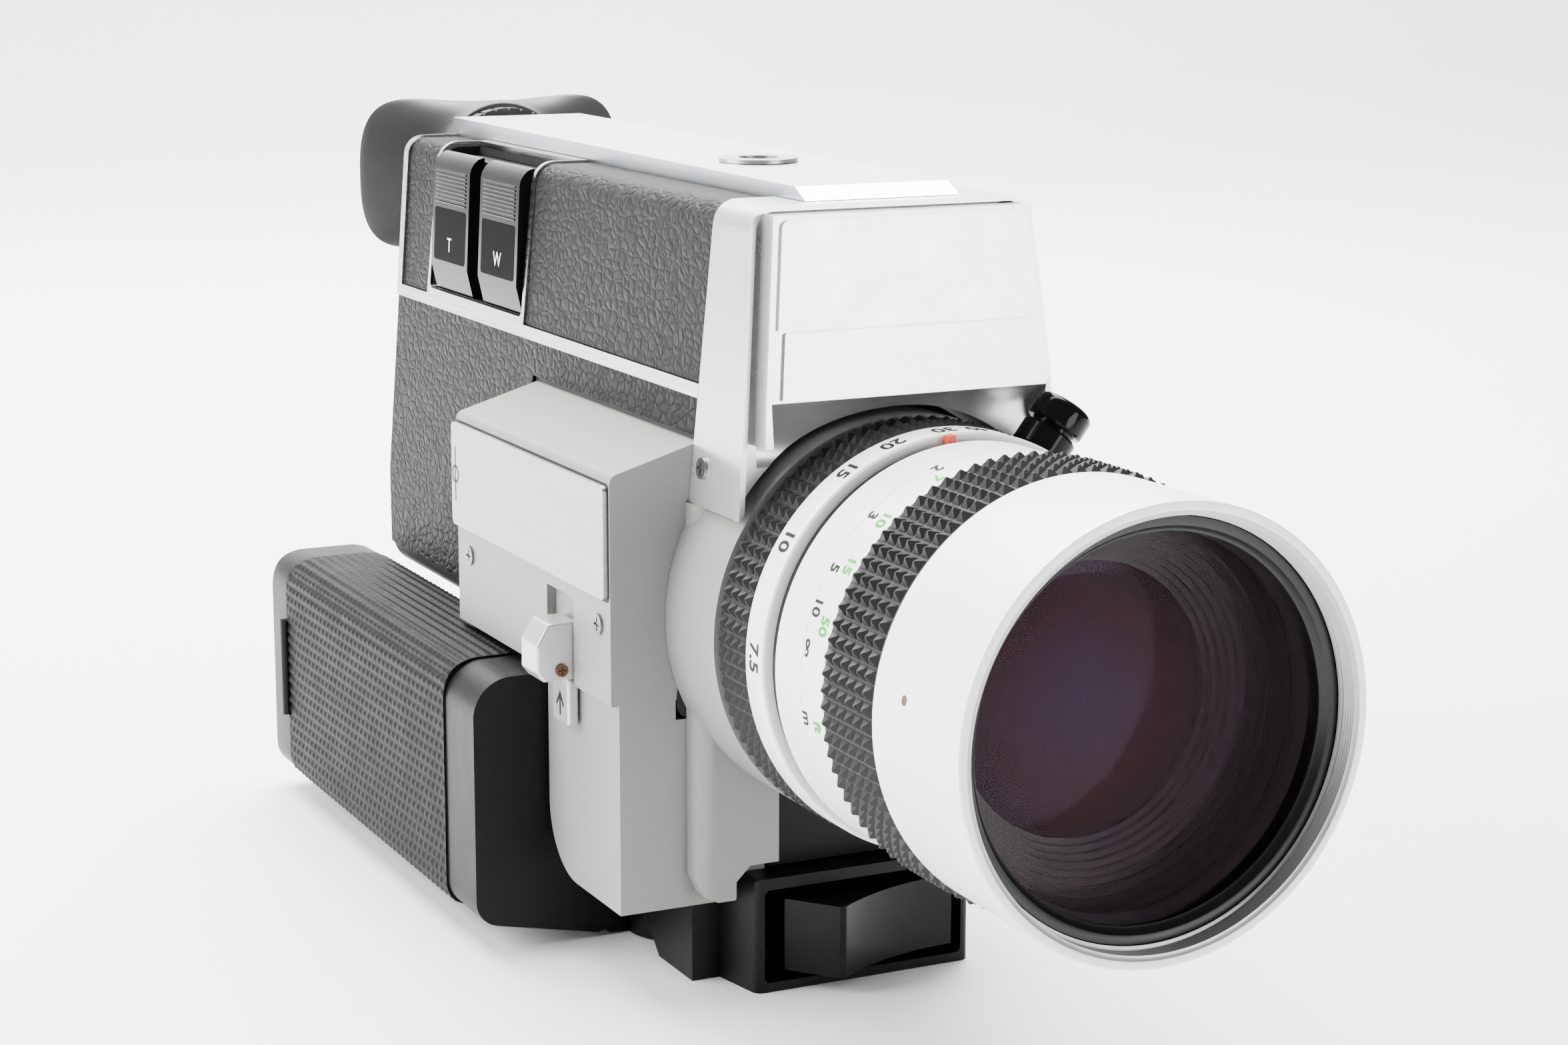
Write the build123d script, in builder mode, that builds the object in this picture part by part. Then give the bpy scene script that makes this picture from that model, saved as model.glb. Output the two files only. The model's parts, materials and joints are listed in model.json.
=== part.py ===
"""Cine camera for small-gauge cartridge film, with a zoom lens and a folding pistol grip.

Frame: millimetres, +Z up, -Y towards the lens, +X to the right of a viewer who faces the lens.
The origin is the mouth of the tripod socket, in the foot under the lens.  The lens axis is X = 0.
The grip is folded back along the left side of the body, as it is stored.
"""
from build123d import *
import math
import os

os.makedirs("parts", exist_ok=True)

# ---------------------------------------------------------------- driving dimensions
LENS_Z = 59.4                 # height of the lens axis above the tripod socket
FILTER_THREAD_R = 29.0        # 58 mm filter thread

# body: a box whose sides lean inwards towards the top
BODY_FRONT, BODY_REAR = -12.4, 124.5
BODY_BOTTOM, BODY_TOP = 43.6, 120.6
SIDE_HALF, SIDE_HALF_Z, SIDE_SLOPE = 21.64, 123.5, 0.1
WALL = 2.0
TOP_CORNER_R, BOTTOM_CORNER_R = 2.8, 2.5
LEATHER_T = 0.6
STRIP_LOW, STRIP_HIGH = 92.3, 94.4     # the bright strip along both sides
REAR_EDGE = [(113.0, 43.6), (116.7, 46.5), (120.8, 60.0), (124.5, 121.2)]   # (y, z) of the back

# front frame round the lens
FRAME_FOOT_Y, FRAME_FOOT_Z, FRAME_LEAN = -30.0, 76.9, 0.115
FRAME_TOP = 121.6
BOSS_PROUD = 3.6
LENS_OPENING_R = 32.3

# top plate
PLATE_HALF, PLATE_LOW, PLATE_FRONT_HIGH, PLATE_REAR_HIGH = 12.8, 121.7, 123.55, 124.5
SOCKET_Y, SOCKET_RING_Z = 20.5, 123.9

# drive housing on the left side
HOUSE_X, HOUSE_LOW_X = -40.0, -38.7
HOUSE_FRONT, HOUSE_REAR, HOUSE_LEG_REAR = -12.35, 53.4, 16.2
HOUSE_STEP_Z, HOUSE_EAVE_Z, HOUSE_RIDGE_Z = 46.7, 81.5, 85.8
HOUSE_LEG_Z, HOUSE_LEG_R = 13.9, 11.0
HOUSE_WALL = 1.8

# foot
FOOT_LEFT, FOOT_RIGHT, FOOT_REAR, FOOT_FRONT = -24.95, 18.5, 17.5, -8.0
GUARD_FRONT, GUARD_HALF, GUARD_TOP, GUARD_FLARE = -17.8, 18.5, 18.2, 1.8
TRIPOD_THREAD_R, TRIPOD_DEPTH = 3.175, 9.0

# lens barrel stations along Y
RIM_Y = -101.4
FOCUS_GRIP_FRONT, FOCUS_GRIP_REAR = -77.6, -62.7
SLEEVE_REAR = -47.5
SCALE_RING_FRONT, ZOOM_GRIP_FRONT, ZOOM_GRIP_REAR = -45.4, -39.8, -29.9
COWL_FRONT = -29.7
TUBE_OUT, TUBE_IN = 27.5, 25.5

# folding grip, stored along the left side
GRIP_FRONT, GRIP_SKIN_FRONT, GRIP_SKIN_REAR, GRIP_REAR = 17.5, 30.5, 115.3, 126.8
GRIP_SECTION = [(-51.4, 4.6), (-25.5, -0.8), (-30.0, 45.6), (-51.4, 45.6)]   # (x, z) corners
GRIP_CORNERS = [5.0, 4.0, 6.5, 7.0]                                         # their radii
HINGE_X, HINGE_Y = -19.5, 17.5        # the fold axis crosses the foot's lower rear edge here
HINGE_LEG, HINGE_LUG_R, HINGE_PIN_R = 9.0, 5.2, 2.0
CELL_R, CELL_LENGTH = 7.25, 50.5

# film door on the right side
DOOR_Y, DOOR_Z, DOOR_LENGTH, DOOR_HEIGHT = 56.0, 81.5, 117.4, 66.6
HINGE_PROUD, DOOR_HINGE_Y = 1.9, -5.6

# zoom keys
KEY_KINK_Z = 100.5
KEY_WIDTH, WIDE_KEY_Y, TELE_KEY_Y = 18.4, 70.3, 94.0
TRAY_FRONT, TRAY_REAR, TRAY_FLOOR_X, TRAY_TOP_X = 59.9, 105.2, -19.4, -15.4

LEVER_ANGLE, LEVER_Y = 37.0, -35.5     # zoom lever, measured round from the top of the lens
lever_dir = (math.sin(math.radians(LEVER_ANGLE)), 0, math.cos(math.radians(LEVER_ANGLE)))

LENS_AXIS = Axis((0, 0, LENS_Z), (0, 1, 0))
FAR = 80.0                            # past any face, for cutting


def save(part, name):
    """Label a finished piece and write its STEP file."""
    part.label = name
    export_step(part, f"parts/{name}.step")
    print(f"{name}: {len(part.solids())} solid(s), {part.volume:.0f} mm3")


def at_y(y):
    """Sketch plane facing the lens at station y: sketch x is X, sketch y is Z."""
    return Plane.XZ.offset(-y)


def lens_plane(y):
    """Sketch plane square to the lens axis and centred on it."""
    return Plane(origin=(0, y, LENS_Z), x_dir=(1, 0, 0), z_dir=(0, -1, 0))


def side_x(z, proud=0.0):
    """Half width of the leaning side at height z."""
    return SIDE_HALF + SIDE_SLOPE * (SIDE_HALF_Z - z) + proud


def side_plane(y, z, proud=0.0):
    """Plane lying on the right side of the body, facing outwards."""
    return Plane(origin=(side_x(z, proud), y, z), x_dir=(0, 1, 0), z_dir=(1, 0, SIDE_SLOPE))


def body_section(proud=0.0):
    """Cross-section of the body, grown by proud, as a sketch in X and Z."""
    low, high = BODY_BOTTOM - proud, BODY_TOP + proud
    with BuildSketch() as section:
        with BuildLine():
            Polyline((side_x(low, proud), low), (side_x(high, proud), high),
                     (-side_x(high, proud), high), (-side_x(low, proud), low), close=True)
        make_face()
        fillet(section.vertices().group_by(Axis.Y)[-1], TOP_CORNER_R + proud)
        fillet(section.vertices().group_by(Axis.Y)[0], BOTTOM_CORNER_R + proud)
    return section.sketch


def rear_outline(inset=0.0, front=BODY_FRONT):
    """Side view of the body as (y, z) points, with the back moved in by inset."""
    back = [(y - inset, z) for y, z in REAR_EDGE]
    return [(front, 40.0), (back[0][0], 40.0)] + back + [(back[-1][0], 130.0), (front, 130.0)]


def body_block(proud, front, inset):
    """The body's volume, grown by proud and with its back moved in by inset."""
    with BuildPart() as block:
        with BuildSketch(at_y(BODY_REAR + 1)):
            add(body_section(proud))
        extrude(amount=BODY_REAR + 1 - front)
        with BuildSketch(Plane.YZ.offset(-FAR)):
            with BuildLine():
                Polyline(*rear_outline(inset, front), close=True)
            make_face()
        extrude(amount=2 * FAR, mode=Mode.INTERSECT)
    return block.part


def side_skin(outline, inner, outer, side=-1, edge_x=PLATE_HALF + 0.15):
    """A sheet wrapped on one side of the body, between two offsets, inside a (y, z) outline."""
    with BuildPart() as skin:
        with BuildSketch(at_y(BODY_REAR + 2)):
            add(body_section(outer))
            add(body_section(inner), mode=Mode.SUBTRACT)
        extrude(amount=BODY_REAR + 2 - BODY_FRONT + 1)
        with BuildSketch(Plane.YZ.offset(edge_x if side > 0 else -FAR)):
            with BuildLine():
                Polyline(*outline, close=True)
            make_face()
        extrude(amount=FAR - edge_x, mode=Mode.INTERSECT)
    return skin.part


def lever_plane(radius):
    """Plane square to the zoom lever at a radius from the lens axis."""
    return Plane(origin=(radius * lever_dir[0], LEVER_Y, LENS_Z + radius * lever_dir[2]), x_dir=(0, 1, 0),
                 z_dir=lever_dir)


def lens_ring(y_front, y_rear, r_out, r_in=0.0, centre=(0.0, LENS_Z)):
    """A round tube or disc whose axis runs along Y."""
    with BuildPart() as tube:
        with BuildSketch(Plane(origin=(centre[0], y_rear, centre[1]), x_dir=(1, 0, 0), z_dir=(0, -1, 0))):
            Circle(r_out)
            if r_in:
                Circle(r_in, mode=Mode.SUBTRACT)
        extrude(amount=y_rear - y_front)
    return tube.part


def turned(profile):
    """A piece turned about the lens axis from (y, radius) points."""
    with BuildPart() as piece:
        with BuildSketch(Plane.YZ):
            with BuildLine():
                Polyline(*[(y, LENS_Z + r) for y, r in profile], close=True)
            make_face()
        revolve(axis=LENS_AXIS)
    return piece.part


def lens_element(y_front, y_rear, radius, front_bulge, rear_bulge):
    """A glass element with two curved faces.  A positive bulge stands out of its edge plane."""
    with BuildPart() as glass:
        with BuildSketch(Plane.YZ):
            with BuildLine():
                Line((y_front - front_bulge, LENS_Z), (y_rear + rear_bulge, LENS_Z))
                Polyline(*[(y_rear + rear_bulge * (1 - (i / 8) ** 2), LENS_Z + radius * i / 8)
                           for i in range(9)],
                         *[(y_front - front_bulge * (1 - (i / 8) ** 2), LENS_Z + radius * i / 8)
                           for i in range(8, -1, -1)])
            make_face()
        revolve(axis=LENS_AXIS)
    return glass.part


def cover_screw(plane, head_r=1.9, head_h=0.7, shank_r=0.9, shank_len=3.0):
    """A cheese-head screw with a cross slot; the plane is its seat, facing outwards."""
    with BuildPart() as screw:
        with BuildSketch(plane):
            Circle(head_r)
        extrude(amount=head_h)
        with BuildSketch(plane):
            Circle(shank_r)
        extrude(amount=-shank_len)
        with BuildSketch(plane.offset(head_h)):
            Rectangle(1.3 * head_r, 0.25 * head_r)
            Rectangle(0.25 * head_r, 1.3 * head_r)
        extrude(amount=-0.6 * head_h, mode=Mode.SUBTRACT)
    return screw.part


def grip_section(inset=0.0):
    """Cross-section of the grip in X and Z, moved in by inset."""
    with BuildSketch() as section:
        with BuildLine():
            Polyline(*GRIP_SECTION, close=True)
        make_face()
        for (x, z), radius in zip(GRIP_SECTION, GRIP_CORNERS):
            corner = section.vertices().sort_by_distance((x, z, 0))[0]
            fillet(corner, radius)
        if inset:
            offset(amount=-inset, mode=Mode.REPLACE)
    return section.sketch


def toothed_disc(teeth, module, y_front, y_rear, centre, bore_r, first_angle=0.0):
    """A spur gear with straight-sided teeth on an axis along Y."""
    pitch_r = teeth * module / 2
    root_r, tip_r = pitch_r - 1.25 * module, pitch_r + 0.9 * module
    root_w, tip_w = 1.45 * module, 0.6 * module
    with BuildPart() as gear:
        with BuildSketch(Plane(origin=(centre[0], y_rear, centre[1]), x_dir=(1, 0, 0), z_dir=(0, -1, 0))):
            Circle(root_r)
            with PolarLocations(0, teeth, start_angle=first_angle):
                with BuildLine():
                    Polyline((root_r - 0.3, -root_w / 2), (tip_r, -tip_w / 2),
                             (tip_r, tip_w / 2), (root_r - 0.3, root_w / 2), close=True)
                make_face()
            Circle(bore_r, mode=Mode.SUBTRACT)
        extrude(amount=y_rear - y_front)
    return gear.part


# ================================================================ body
GATE_BORE_R = 12.0
SHUTTER_Z, SHUTTER_R, SHAFT_R = 80.0, 22.3, 1.5
with BuildPart() as body_shell:
    add(body_block(0.0, BODY_FRONT, 0.0))
    add(body_block(-WALL, BODY_FRONT + WALL, WALL), mode=Mode.SUBTRACT)
    with BuildSketch(side_plane(DOOR_Y, DOOR_Z, 1)):            # film door opening, right side
        RectangleRounded(DOOR_LENGTH + 0.8, DOOR_HEIGHT + 0.8, 4.4)
    extrude(amount=-6, mode=Mode.SUBTRACT)
    with BuildSketch(Plane.YZ.offset(-10)):                     # window for the zoom key tray
        with Locations(((TRAY_FRONT + TRAY_REAR) / 2, 107.0)):
            Rectangle(TRAY_REAR - TRAY_FRONT, 24.4)
    extrude(amount=-FAR, mode=Mode.SUBTRACT)
    with BuildSketch(Plane.YZ.offset(TRAY_TOP_X)):              # open at the top above the keys
        with Locations(((TRAY_FRONT + TRAY_REAR) / 2, 122.0)):
            Rectangle(TRAY_REAR - TRAY_FRONT, 20.0)
    extrude(amount=-FAR, mode=Mode.SUBTRACT)
    add(lens_ring(BODY_FRONT + 1, 24.0, 4.5, 0, (0, SHUTTER_Z)))    # bearing of the shutter shaft
    add(lens_ring(BODY_FRONT + 1, 40.0, SHAFT_R + 0.04, 0, (0, SHUTTER_Z)), mode=Mode.SUBTRACT)
    add(lens_ring(BODY_FRONT - 1, 11.0, 3.0, 0, (0, SHUTTER_Z)), mode=Mode.SUBTRACT)
    with BuildSketch(lens_plane(BODY_FRONT + 5)):               # light path from the lens
        Circle(GATE_BORE_R)
    extrude(amount=20, mode=Mode.SUBTRACT)
    with BuildSketch(at_y(BODY_REAR + 5)):                      # light path to the eyepiece
        with Locations((-15.9, 112.0)):
            Circle(2.2)
    extrude(amount=20, mode=Mode.SUBTRACT)
    with BuildSketch(Plane.YZ.offset(-15)):                     # cable opening into the drive housing
        with Locations((20.0, 66.0)):
            Rectangle(24.0, 14.0)
    extrude(amount=-20, mode=Mode.SUBTRACT)
save(body_shell.part, "body_shell")

REAR_TRIM_FRONT = [(y - 2.4, z) for y, z in REAR_EDGE[2:]]
LEFT_PANELS = [
    [(BODY_FRONT + 0.1, STRIP_HIGH + 0.1), (TRAY_FRONT - 1.3, STRIP_HIGH + 0.1),
     (TRAY_FRONT - 1.3, 130.0), (BODY_FRONT + 0.1, 130.0)],
    [(TRAY_REAR + 1.3, STRIP_HIGH + 0.1), (REAR_TRIM_FRONT[0][0] + 2.0, STRIP_HIGH + 0.1),
     (REAR_TRIM_FRONT[1][0] - 0.1, 121.2), (REAR_TRIM_FRONT[1][0] - 0.1, 130.0), (TRAY_REAR + 1.3, 130.0)],
    [(HOUSE_REAR + 0.1, 46.8), (116.6, 46.8), (120.6, 60.0), (122.6, STRIP_LOW - 0.1),
     (BODY_FRONT + 0.1, STRIP_LOW - 0.1), (BODY_FRONT + 0.1, 86.6), (HOUSE_REAR + 0.1, 86.6)],
]
with BuildPart() as leather_left:
    for panel_outline in LEFT_PANELS:
        add(side_skin(panel_outline, 0.02, LEATHER_T))
save(leather_left.part, "leather_left")

# bright trim on the left: strip, rear edge and the rim round the zoom keys
STRIP_PROUD = 1.0
with BuildPart() as side_trim:
    add(side_skin([(BODY_FRONT + 0.1, STRIP_LOW), (122.7, STRIP_LOW), (122.7, STRIP_HIGH),
                   (BODY_FRONT + 0.1, STRIP_HIGH)], 0.02, STRIP_PROUD))
    add(side_skin([(120.35, STRIP_HIGH - 1), (122.65, STRIP_HIGH - 1), (124.4, 121.2), (124.4, 130.0),
                   (122.1, 130.0), (122.1, 121.2)], 0.02, STRIP_PROUD))
    add(side_skin([(TRAY_FRONT - 1.2, STRIP_HIGH - 1), (TRAY_REAR + 1.2, STRIP_HIGH - 1),
                   (TRAY_REAR + 1.2, 130.0), (TRAY_FRONT - 1.2, 130.0)], 0.02, STRIP_PROUD))
    with BuildSketch(Plane.YZ.offset(TRAY_TOP_X)):
        with Locations(((TRAY_FRONT + TRAY_REAR) / 2, 112.75)):
            RectangleRounded(TRAY_REAR - TRAY_FRONT, 34.5, 1.2)
    extrude(amount=-FAR, mode=Mode.SUBTRACT)
save(side_trim.part, "side_trim")

with BuildPart() as key_tray:
    with BuildSketch(Plane.YZ.offset(TRAY_FLOOR_X)):
        with Locations(((TRAY_FRONT + TRAY_REAR) / 2, 107.0)):
            Rectangle(TRAY_REAR - TRAY_FRONT - 0.1, 24.2)
    extrude(amount=-6)
    with BuildSketch(Plane.YZ.offset(TRAY_FLOOR_X - 0.8)):
        with Locations(((TRAY_FRONT + TRAY_REAR) / 2, 110.0)):
            Rectangle(TRAY_REAR - TRAY_FRONT - 1.7, 28.8)
    extrude(amount=-10, mode=Mode.SUBTRACT)
    with BuildSketch(Plane.YZ.offset(TRAY_TOP_X - 0.05)):       # shelf behind the tops of the keys
        with Locations(((TRAY_FRONT + TRAY_REAR) / 2, 118.3)):
            Rectangle(TRAY_REAR - TRAY_FRONT - 0.1, 1.6)
    extrude(amount=TRAY_FLOOR_X - 0.75 - TRAY_TOP_X)
    add(body_block(0.0, BODY_FRONT, 0.0), mode=Mode.INTERSECT)
save(key_tray.part, "key_tray")

for key_name, key_y in (("zoom_key_wide", WIDE_KEY_Y), ("zoom_key_tele", TELE_KEY_Y)):
    with BuildPart() as zoom_key:
        with BuildSketch(at_y(key_y + KEY_WIDTH / 2)):
            with BuildLine():
                Polyline((-21.6, 95.9), (-24.75, 95.9), (-25.75, KEY_KINK_Z), (-25.2, 112.0), (-24.7, 116.8),
                         (-23.9, 119.2), (-22.6, 120.3), (-22.0, 120.3), (-22.0, 118.1), (-21.6, 118.1),
                         close=True)
            make_face()
        extrude(amount=KEY_WIDTH)
    save(zoom_key.part, key_name)

# ---------------------------------------------------------------- top plate and its socket
with BuildPart() as top_plate:
    with BuildSketch(Plane.YZ.offset(-PLATE_HALF)):
        with BuildLine():
            Polyline((-21.9, PLATE_LOW), (-18.4, PLATE_FRONT_HIGH), (125.6, PLATE_REAR_HIGH),
                     (124.8, PLATE_LOW), close=True)
        make_face()
    extrude(amount=2 * PLATE_HALF)
    with BuildSketch(Plane.XY.offset(PLATE_LOW - 1)):
        with Locations((0, SOCKET_Y)):
            Circle(4.6)
    extrude(amount=6, mode=Mode.SUBTRACT)
    with BuildSketch(Plane.XY.offset(BODY_TOP + 0.02)):          # fills the gap down to the casting
        with Locations((0, 56.2)):
            Rectangle(2 * PLATE_HALF - 1.0, 136.0)
        with Locations((0, SOCKET_Y)):
            Circle(4.6, mode=Mode.SUBTRACT)
    extrude(amount=PLATE_LOW - BODY_TOP)
save(top_plate.part, "top_plate")

with BuildPart() as light_socket:
    with BuildSketch(Plane.XY.offset(SOCKET_RING_Z)):
        with Locations((0, SOCKET_Y)):
            Circle(6.35)
    extrude(amount=0.6)
    with BuildSketch(Plane.XY.offset(BODY_TOP + 0.05)):
        with Locations((0, SOCKET_Y)):
            Circle(4.5)
    extrude(amount=SOCKET_RING_Z - BODY_TOP)
    with BuildSketch(Plane.XY.offset(BODY_TOP - 1)):
        with Locations((0, SOCKET_Y)):
            Circle(TRIPOD_THREAD_R)
    extrude(amount=10, mode=Mode.SUBTRACT)
save(light_socket.part, "light_socket")


# ================================================================ front frame
def lean_y(z, forward=0.0):
    """Front of the frame at height z, moved forward by an amount."""
    return FRAME_FOOT_Y + FRAME_LEAN * (z - FRAME_FOOT_Z) - forward


def lean_slab(z_low, z_high, front, back):
    """(y, z) outline of a slab that leans back with the frame."""
    return [(lean_y(z_low, front), z_low), (lean_y(z_low, back), z_low),
            (lean_y(z_high, back), z_high), (lean_y(z_high, front), z_high)]


BOSS_SIDES = [(24.2, 87.6), (23.7, 94.1), (21.2, 120.5)]          # (half width, z)
COVE_R, GROOVE_DEPTH = 7.0, 2.5
with BuildPart() as front_frame:
    with BuildSketch(at_y(BODY_FRONT - 0.05)):
        add(body_section(STRIP_PROUD))
        with Locations((0, 20.0)):
            Rectangle(2 * FAR, 2 * (FRAME_FOOT_Z - 20.0), mode=Mode.SUBTRACT)
    extrude(amount=24)
    with BuildSketch(Plane.YZ.offset(-FAR)):
        with BuildLine():
            Polyline((lean_y(FRAME_FOOT_Z), FRAME_FOOT_Z), (BODY_FRONT, FRAME_FOOT_Z),
                     (BODY_FRONT, 130.0), (lean_y(130.0), 130.0), close=True)
        make_face()
    extrude(amount=2 * FAR, mode=Mode.INTERSECT)
    with BuildSketch(at_y(FRAME_FOOT_Y + 20)):                    # groove round the boss
        add(body_section(0.15))
        with Locations((0, 20.0)):
            Rectangle(2 * FAR, 2 * (FRAME_FOOT_Z - 21.0), mode=Mode.SUBTRACT)
    groove = extrude(amount=40, mode=Mode.PRIVATE)
    with BuildSketch(Plane.YZ.offset(-FAR)):
        with BuildLine():
            Polyline(*lean_slab(70.0, 130.0, 10.0, -GROOVE_DEPTH), close=True)
        make_face()
    front_slab = extrude(amount=2 * FAR, mode=Mode.PRIVATE)
    add(groove & front_slab, mode=Mode.SUBTRACT)
    with BuildSketch(at_y(FRAME_FOOT_Y + 20)):                    # boss that carries the name plates
        with BuildLine():
            Polyline(*BOSS_SIDES, *[(-x, z) for x, z in reversed(BOSS_SIDES)], close=True)
        make_face()
    boss_bar = extrude(amount=40, mode=Mode.PRIVATE)
    with BuildSketch(Plane.YZ.offset(-FAR)):
        with BuildLine():
            Polyline(*lean_slab(70.0, 130.0, BOSS_PROUD, -GROOVE_DEPTH - 0.5), close=True)
        make_face()
    boss_slab = extrude(amount=2 * FAR, mode=Mode.PRIVATE)
    add(boss_bar & boss_slab)
    with BuildSketch(Plane.YZ.offset(-BOSS_SIDES[0][0] + 1.3)):   # cove under the plates
        with Locations((lean_y(87.1, BOSS_PROUD + 0.5), 94.1 - COVE_R)):
            Circle(COVE_R)
    extrude(amount=2 * (BOSS_SIDES[0][0] - 1.3), mode=Mode.SUBTRACT)
    with BuildSketch(at_y(BODY_FRONT - 2.0)):                     # hollow behind the face
        add(body_section(-WALL))
        with Locations((0, 20.0)):
            Rectangle(2 * FAR, 2 * (FRAME_FOOT_Z - 15.0), mode=Mode.SUBTRACT)
    hollow = extrude(amount=40, mode=Mode.PRIVATE)
    with BuildSketch(Plane.YZ.offset(-FAR)):
        with BuildLine():
            Polyline(*lean_slab(70.0, 130.0, -GROOVE_DEPTH - 1.8, -60.0), close=True)
        make_face()
    rear_slab = extrude(amount=2 * FAR, mode=Mode.PRIVATE)
    add(hollow & rear_slab, mode=Mode.SUBTRACT)
    with BuildSketch(lens_plane(BODY_FRONT + 1)):                 # opening for the lens
        Circle(LENS_OPENING_R)
    extrude(amount=60, mode=Mode.SUBTRACT)
    with BuildSketch(lever_plane(31.0)):                          # room for the zoom lever
        Circle(5.0)
    extrude(amount=14, mode=Mode.SUBTRACT)
save(front_frame.part, "front_frame")

FRAME_NORMAL = (0, -1, FRAME_LEAN)


def boss_plane(z):
    """Plane on the face of the boss at height z."""
    return Plane(origin=(0, lean_y(z, BOSS_PROUD), z), x_dir=(1, 0, 0), z_dir=FRAME_NORMAL)


def boss_half(z):
    """Half width of the boss at height z."""
    (x0, z0), (x1, z1) = BOSS_SIDES[1], BOSS_SIDES[2]
    return x0 + (x1 - x0) * (z - z0) / (z1 - z0)


for plate_name, z_low, z_high, border, corner_r in (("plate_upper", 104.3, 119.8, 1.2, 1.2),
                                                    ("plate_lower", 94.4, 103.9, 2.3, 0.4)):
    rise = (z_high - z_low) * math.sqrt(1 + FRAME_LEAN ** 2)
    wide, narrow = boss_half(z_low) - border, boss_half(z_high) - border
    with BuildPart() as name_plate:
        with BuildSketch(boss_plane(z_low)) as outline:
            with BuildLine():
                Polyline((-wide, 0), (wide, 0), (narrow, rise), (-narrow, rise), close=True)
            make_face()
            fillet(outline.vertices().group_by(Axis.Y)[-1], corner_r)
        extrude(amount=0.6)
    save(name_plate.part, plate_name)


# ================================================================ drive housing
def housing_section(inset=0.0):
    """Upper block of the drive housing in X and Z, moved in by inset."""
    x = HOUSE_X + inset
    low, eave, ridge = HOUSE_STEP_Z - 0.05, HOUSE_EAVE_Z - inset, HOUSE_RIDGE_Z - inset
    return [(x, low), (x, eave), (-side_x(ridge, 0.05), ridge), (-side_x(low, 0.05), low)]


def leg_outline(inset=0.0):
    """Lower portion of the drive housing in Y and Z, moved in by inset."""
    with BuildSketch() as outline:
        with BuildLine():
            Polyline((HOUSE_FRONT + inset, HOUSE_LEG_Z + inset), (HOUSE_LEG_REAR - inset, HOUSE_LEG_Z + inset),
                     (HOUSE_LEG_REAR - inset, HOUSE_STEP_Z), (HOUSE_FRONT + inset, HOUSE_STEP_Z), close=True)
        make_face()
        corner = outline.vertices().sort_by_distance((HOUSE_LEG_REAR, HOUSE_LEG_Z, 0))[0]
        fillet(corner, HOUSE_LEG_R - inset)
    return outline.sketch


LEG_INNER_X = -14.65
with BuildPart() as drive_housing:
    with BuildSketch(at_y(HOUSE_REAR)):
        with BuildLine():
            Polyline(*housing_section(), close=True)
        make_face()
    extrude(amount=HOUSE_REAR - HOUSE_FRONT)
    fillet(drive_housing.edges().filter_by(Axis.Y).sort_by_distance((HOUSE_X, 20, HOUSE_EAVE_Z))[0], 1.5)
    fillet(drive_housing.edges().filter_by(Axis.Z).sort_by_distance((HOUSE_X, HOUSE_REAR, 60))[0], 1.2)
    with BuildSketch(Plane.YZ.offset(HOUSE_LOW_X)):               # lower portion, beside the body
        add(leg_outline())
    extrude(amount=-(HOUSE_LOW_X + side_x(HOUSE_STEP_Z, 0.2)))
    with BuildSketch(Plane.YZ.offset(HOUSE_LOW_X)):               # lower portion, under the body
        add(leg_outline())
        with Locations((0, 60.0)):
            Rectangle(120, 2 * (60.0 - BODY_BOTTOM + 0.1), mode=Mode.SUBTRACT)
    extrude(amount=LEG_INNER_X - HOUSE_LOW_X)
    with BuildSketch(at_y(HOUSE_REAR - HOUSE_WALL)):              # hollow of the upper block
        with BuildLine():
            Polyline(*[(x, z + (HOUSE_WALL if z < 50 else 0)) for x, z in housing_section(HOUSE_WALL)],
                     close=True)
        make_face()
    extrude(amount=HOUSE_REAR - HOUSE_FRONT - 2 * HOUSE_WALL, mode=Mode.SUBTRACT)
    with BuildSketch(Plane.YZ.offset(HOUSE_LOW_X + HOUSE_WALL)):  # hollow of the lower portion
        add(leg_outline(HOUSE_WALL))
        with Locations((0, 60.0)):
            Rectangle(120, 2 * (60.0 - BODY_BOTTOM + 2.0), mode=Mode.SUBTRACT)
    extrude(amount=LEG_INNER_X - HOUSE_LOW_X - 2 * HOUSE_WALL, mode=Mode.SUBTRACT)
    with BuildSketch(Plane.YZ.offset(HOUSE_X)):                   # slot of the slide switch
        with Locations((7.5, 53.5)):
            Rectangle(10.8, 14.0)
    extrude(amount=1.5, mode=Mode.SUBTRACT)
save(drive_housing.part, "drive_housing")

with BuildPart() as housing_plate:
    with BuildSketch(Plane.YZ.offset(HOUSE_X - 0.75)):
        with Locations((20.7, 71.4)):
            RectangleRounded(64.6, 17.2, 1.0)
    extrude(amount=0.7)
save(housing_plate.part, "housing_plate")

screw_seats = [Plane(origin=(HOUSE_X - 0.02, y, z), x_dir=(0, 1, 0), z_dir=(-1, 0, 0))
               for y, z in ((46.6, 58.4), (-8.0, 58.5))]
screw_seats += [Plane(origin=(side * side_x(82.5, STRIP_PROUD + 0.02), -16.4, 82.5), x_dir=(0, 1, 0),
                      z_dir=(side, 0, SIDE_SLOPE)) for side in (-1, 1)]
with BuildPart() as cover_screws:
    for seat in screw_seats:
        add(cover_screw(seat, 1.6, 0.4, 0.9, 0.01))
save(cover_screws.part, "cover_screws")

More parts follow.
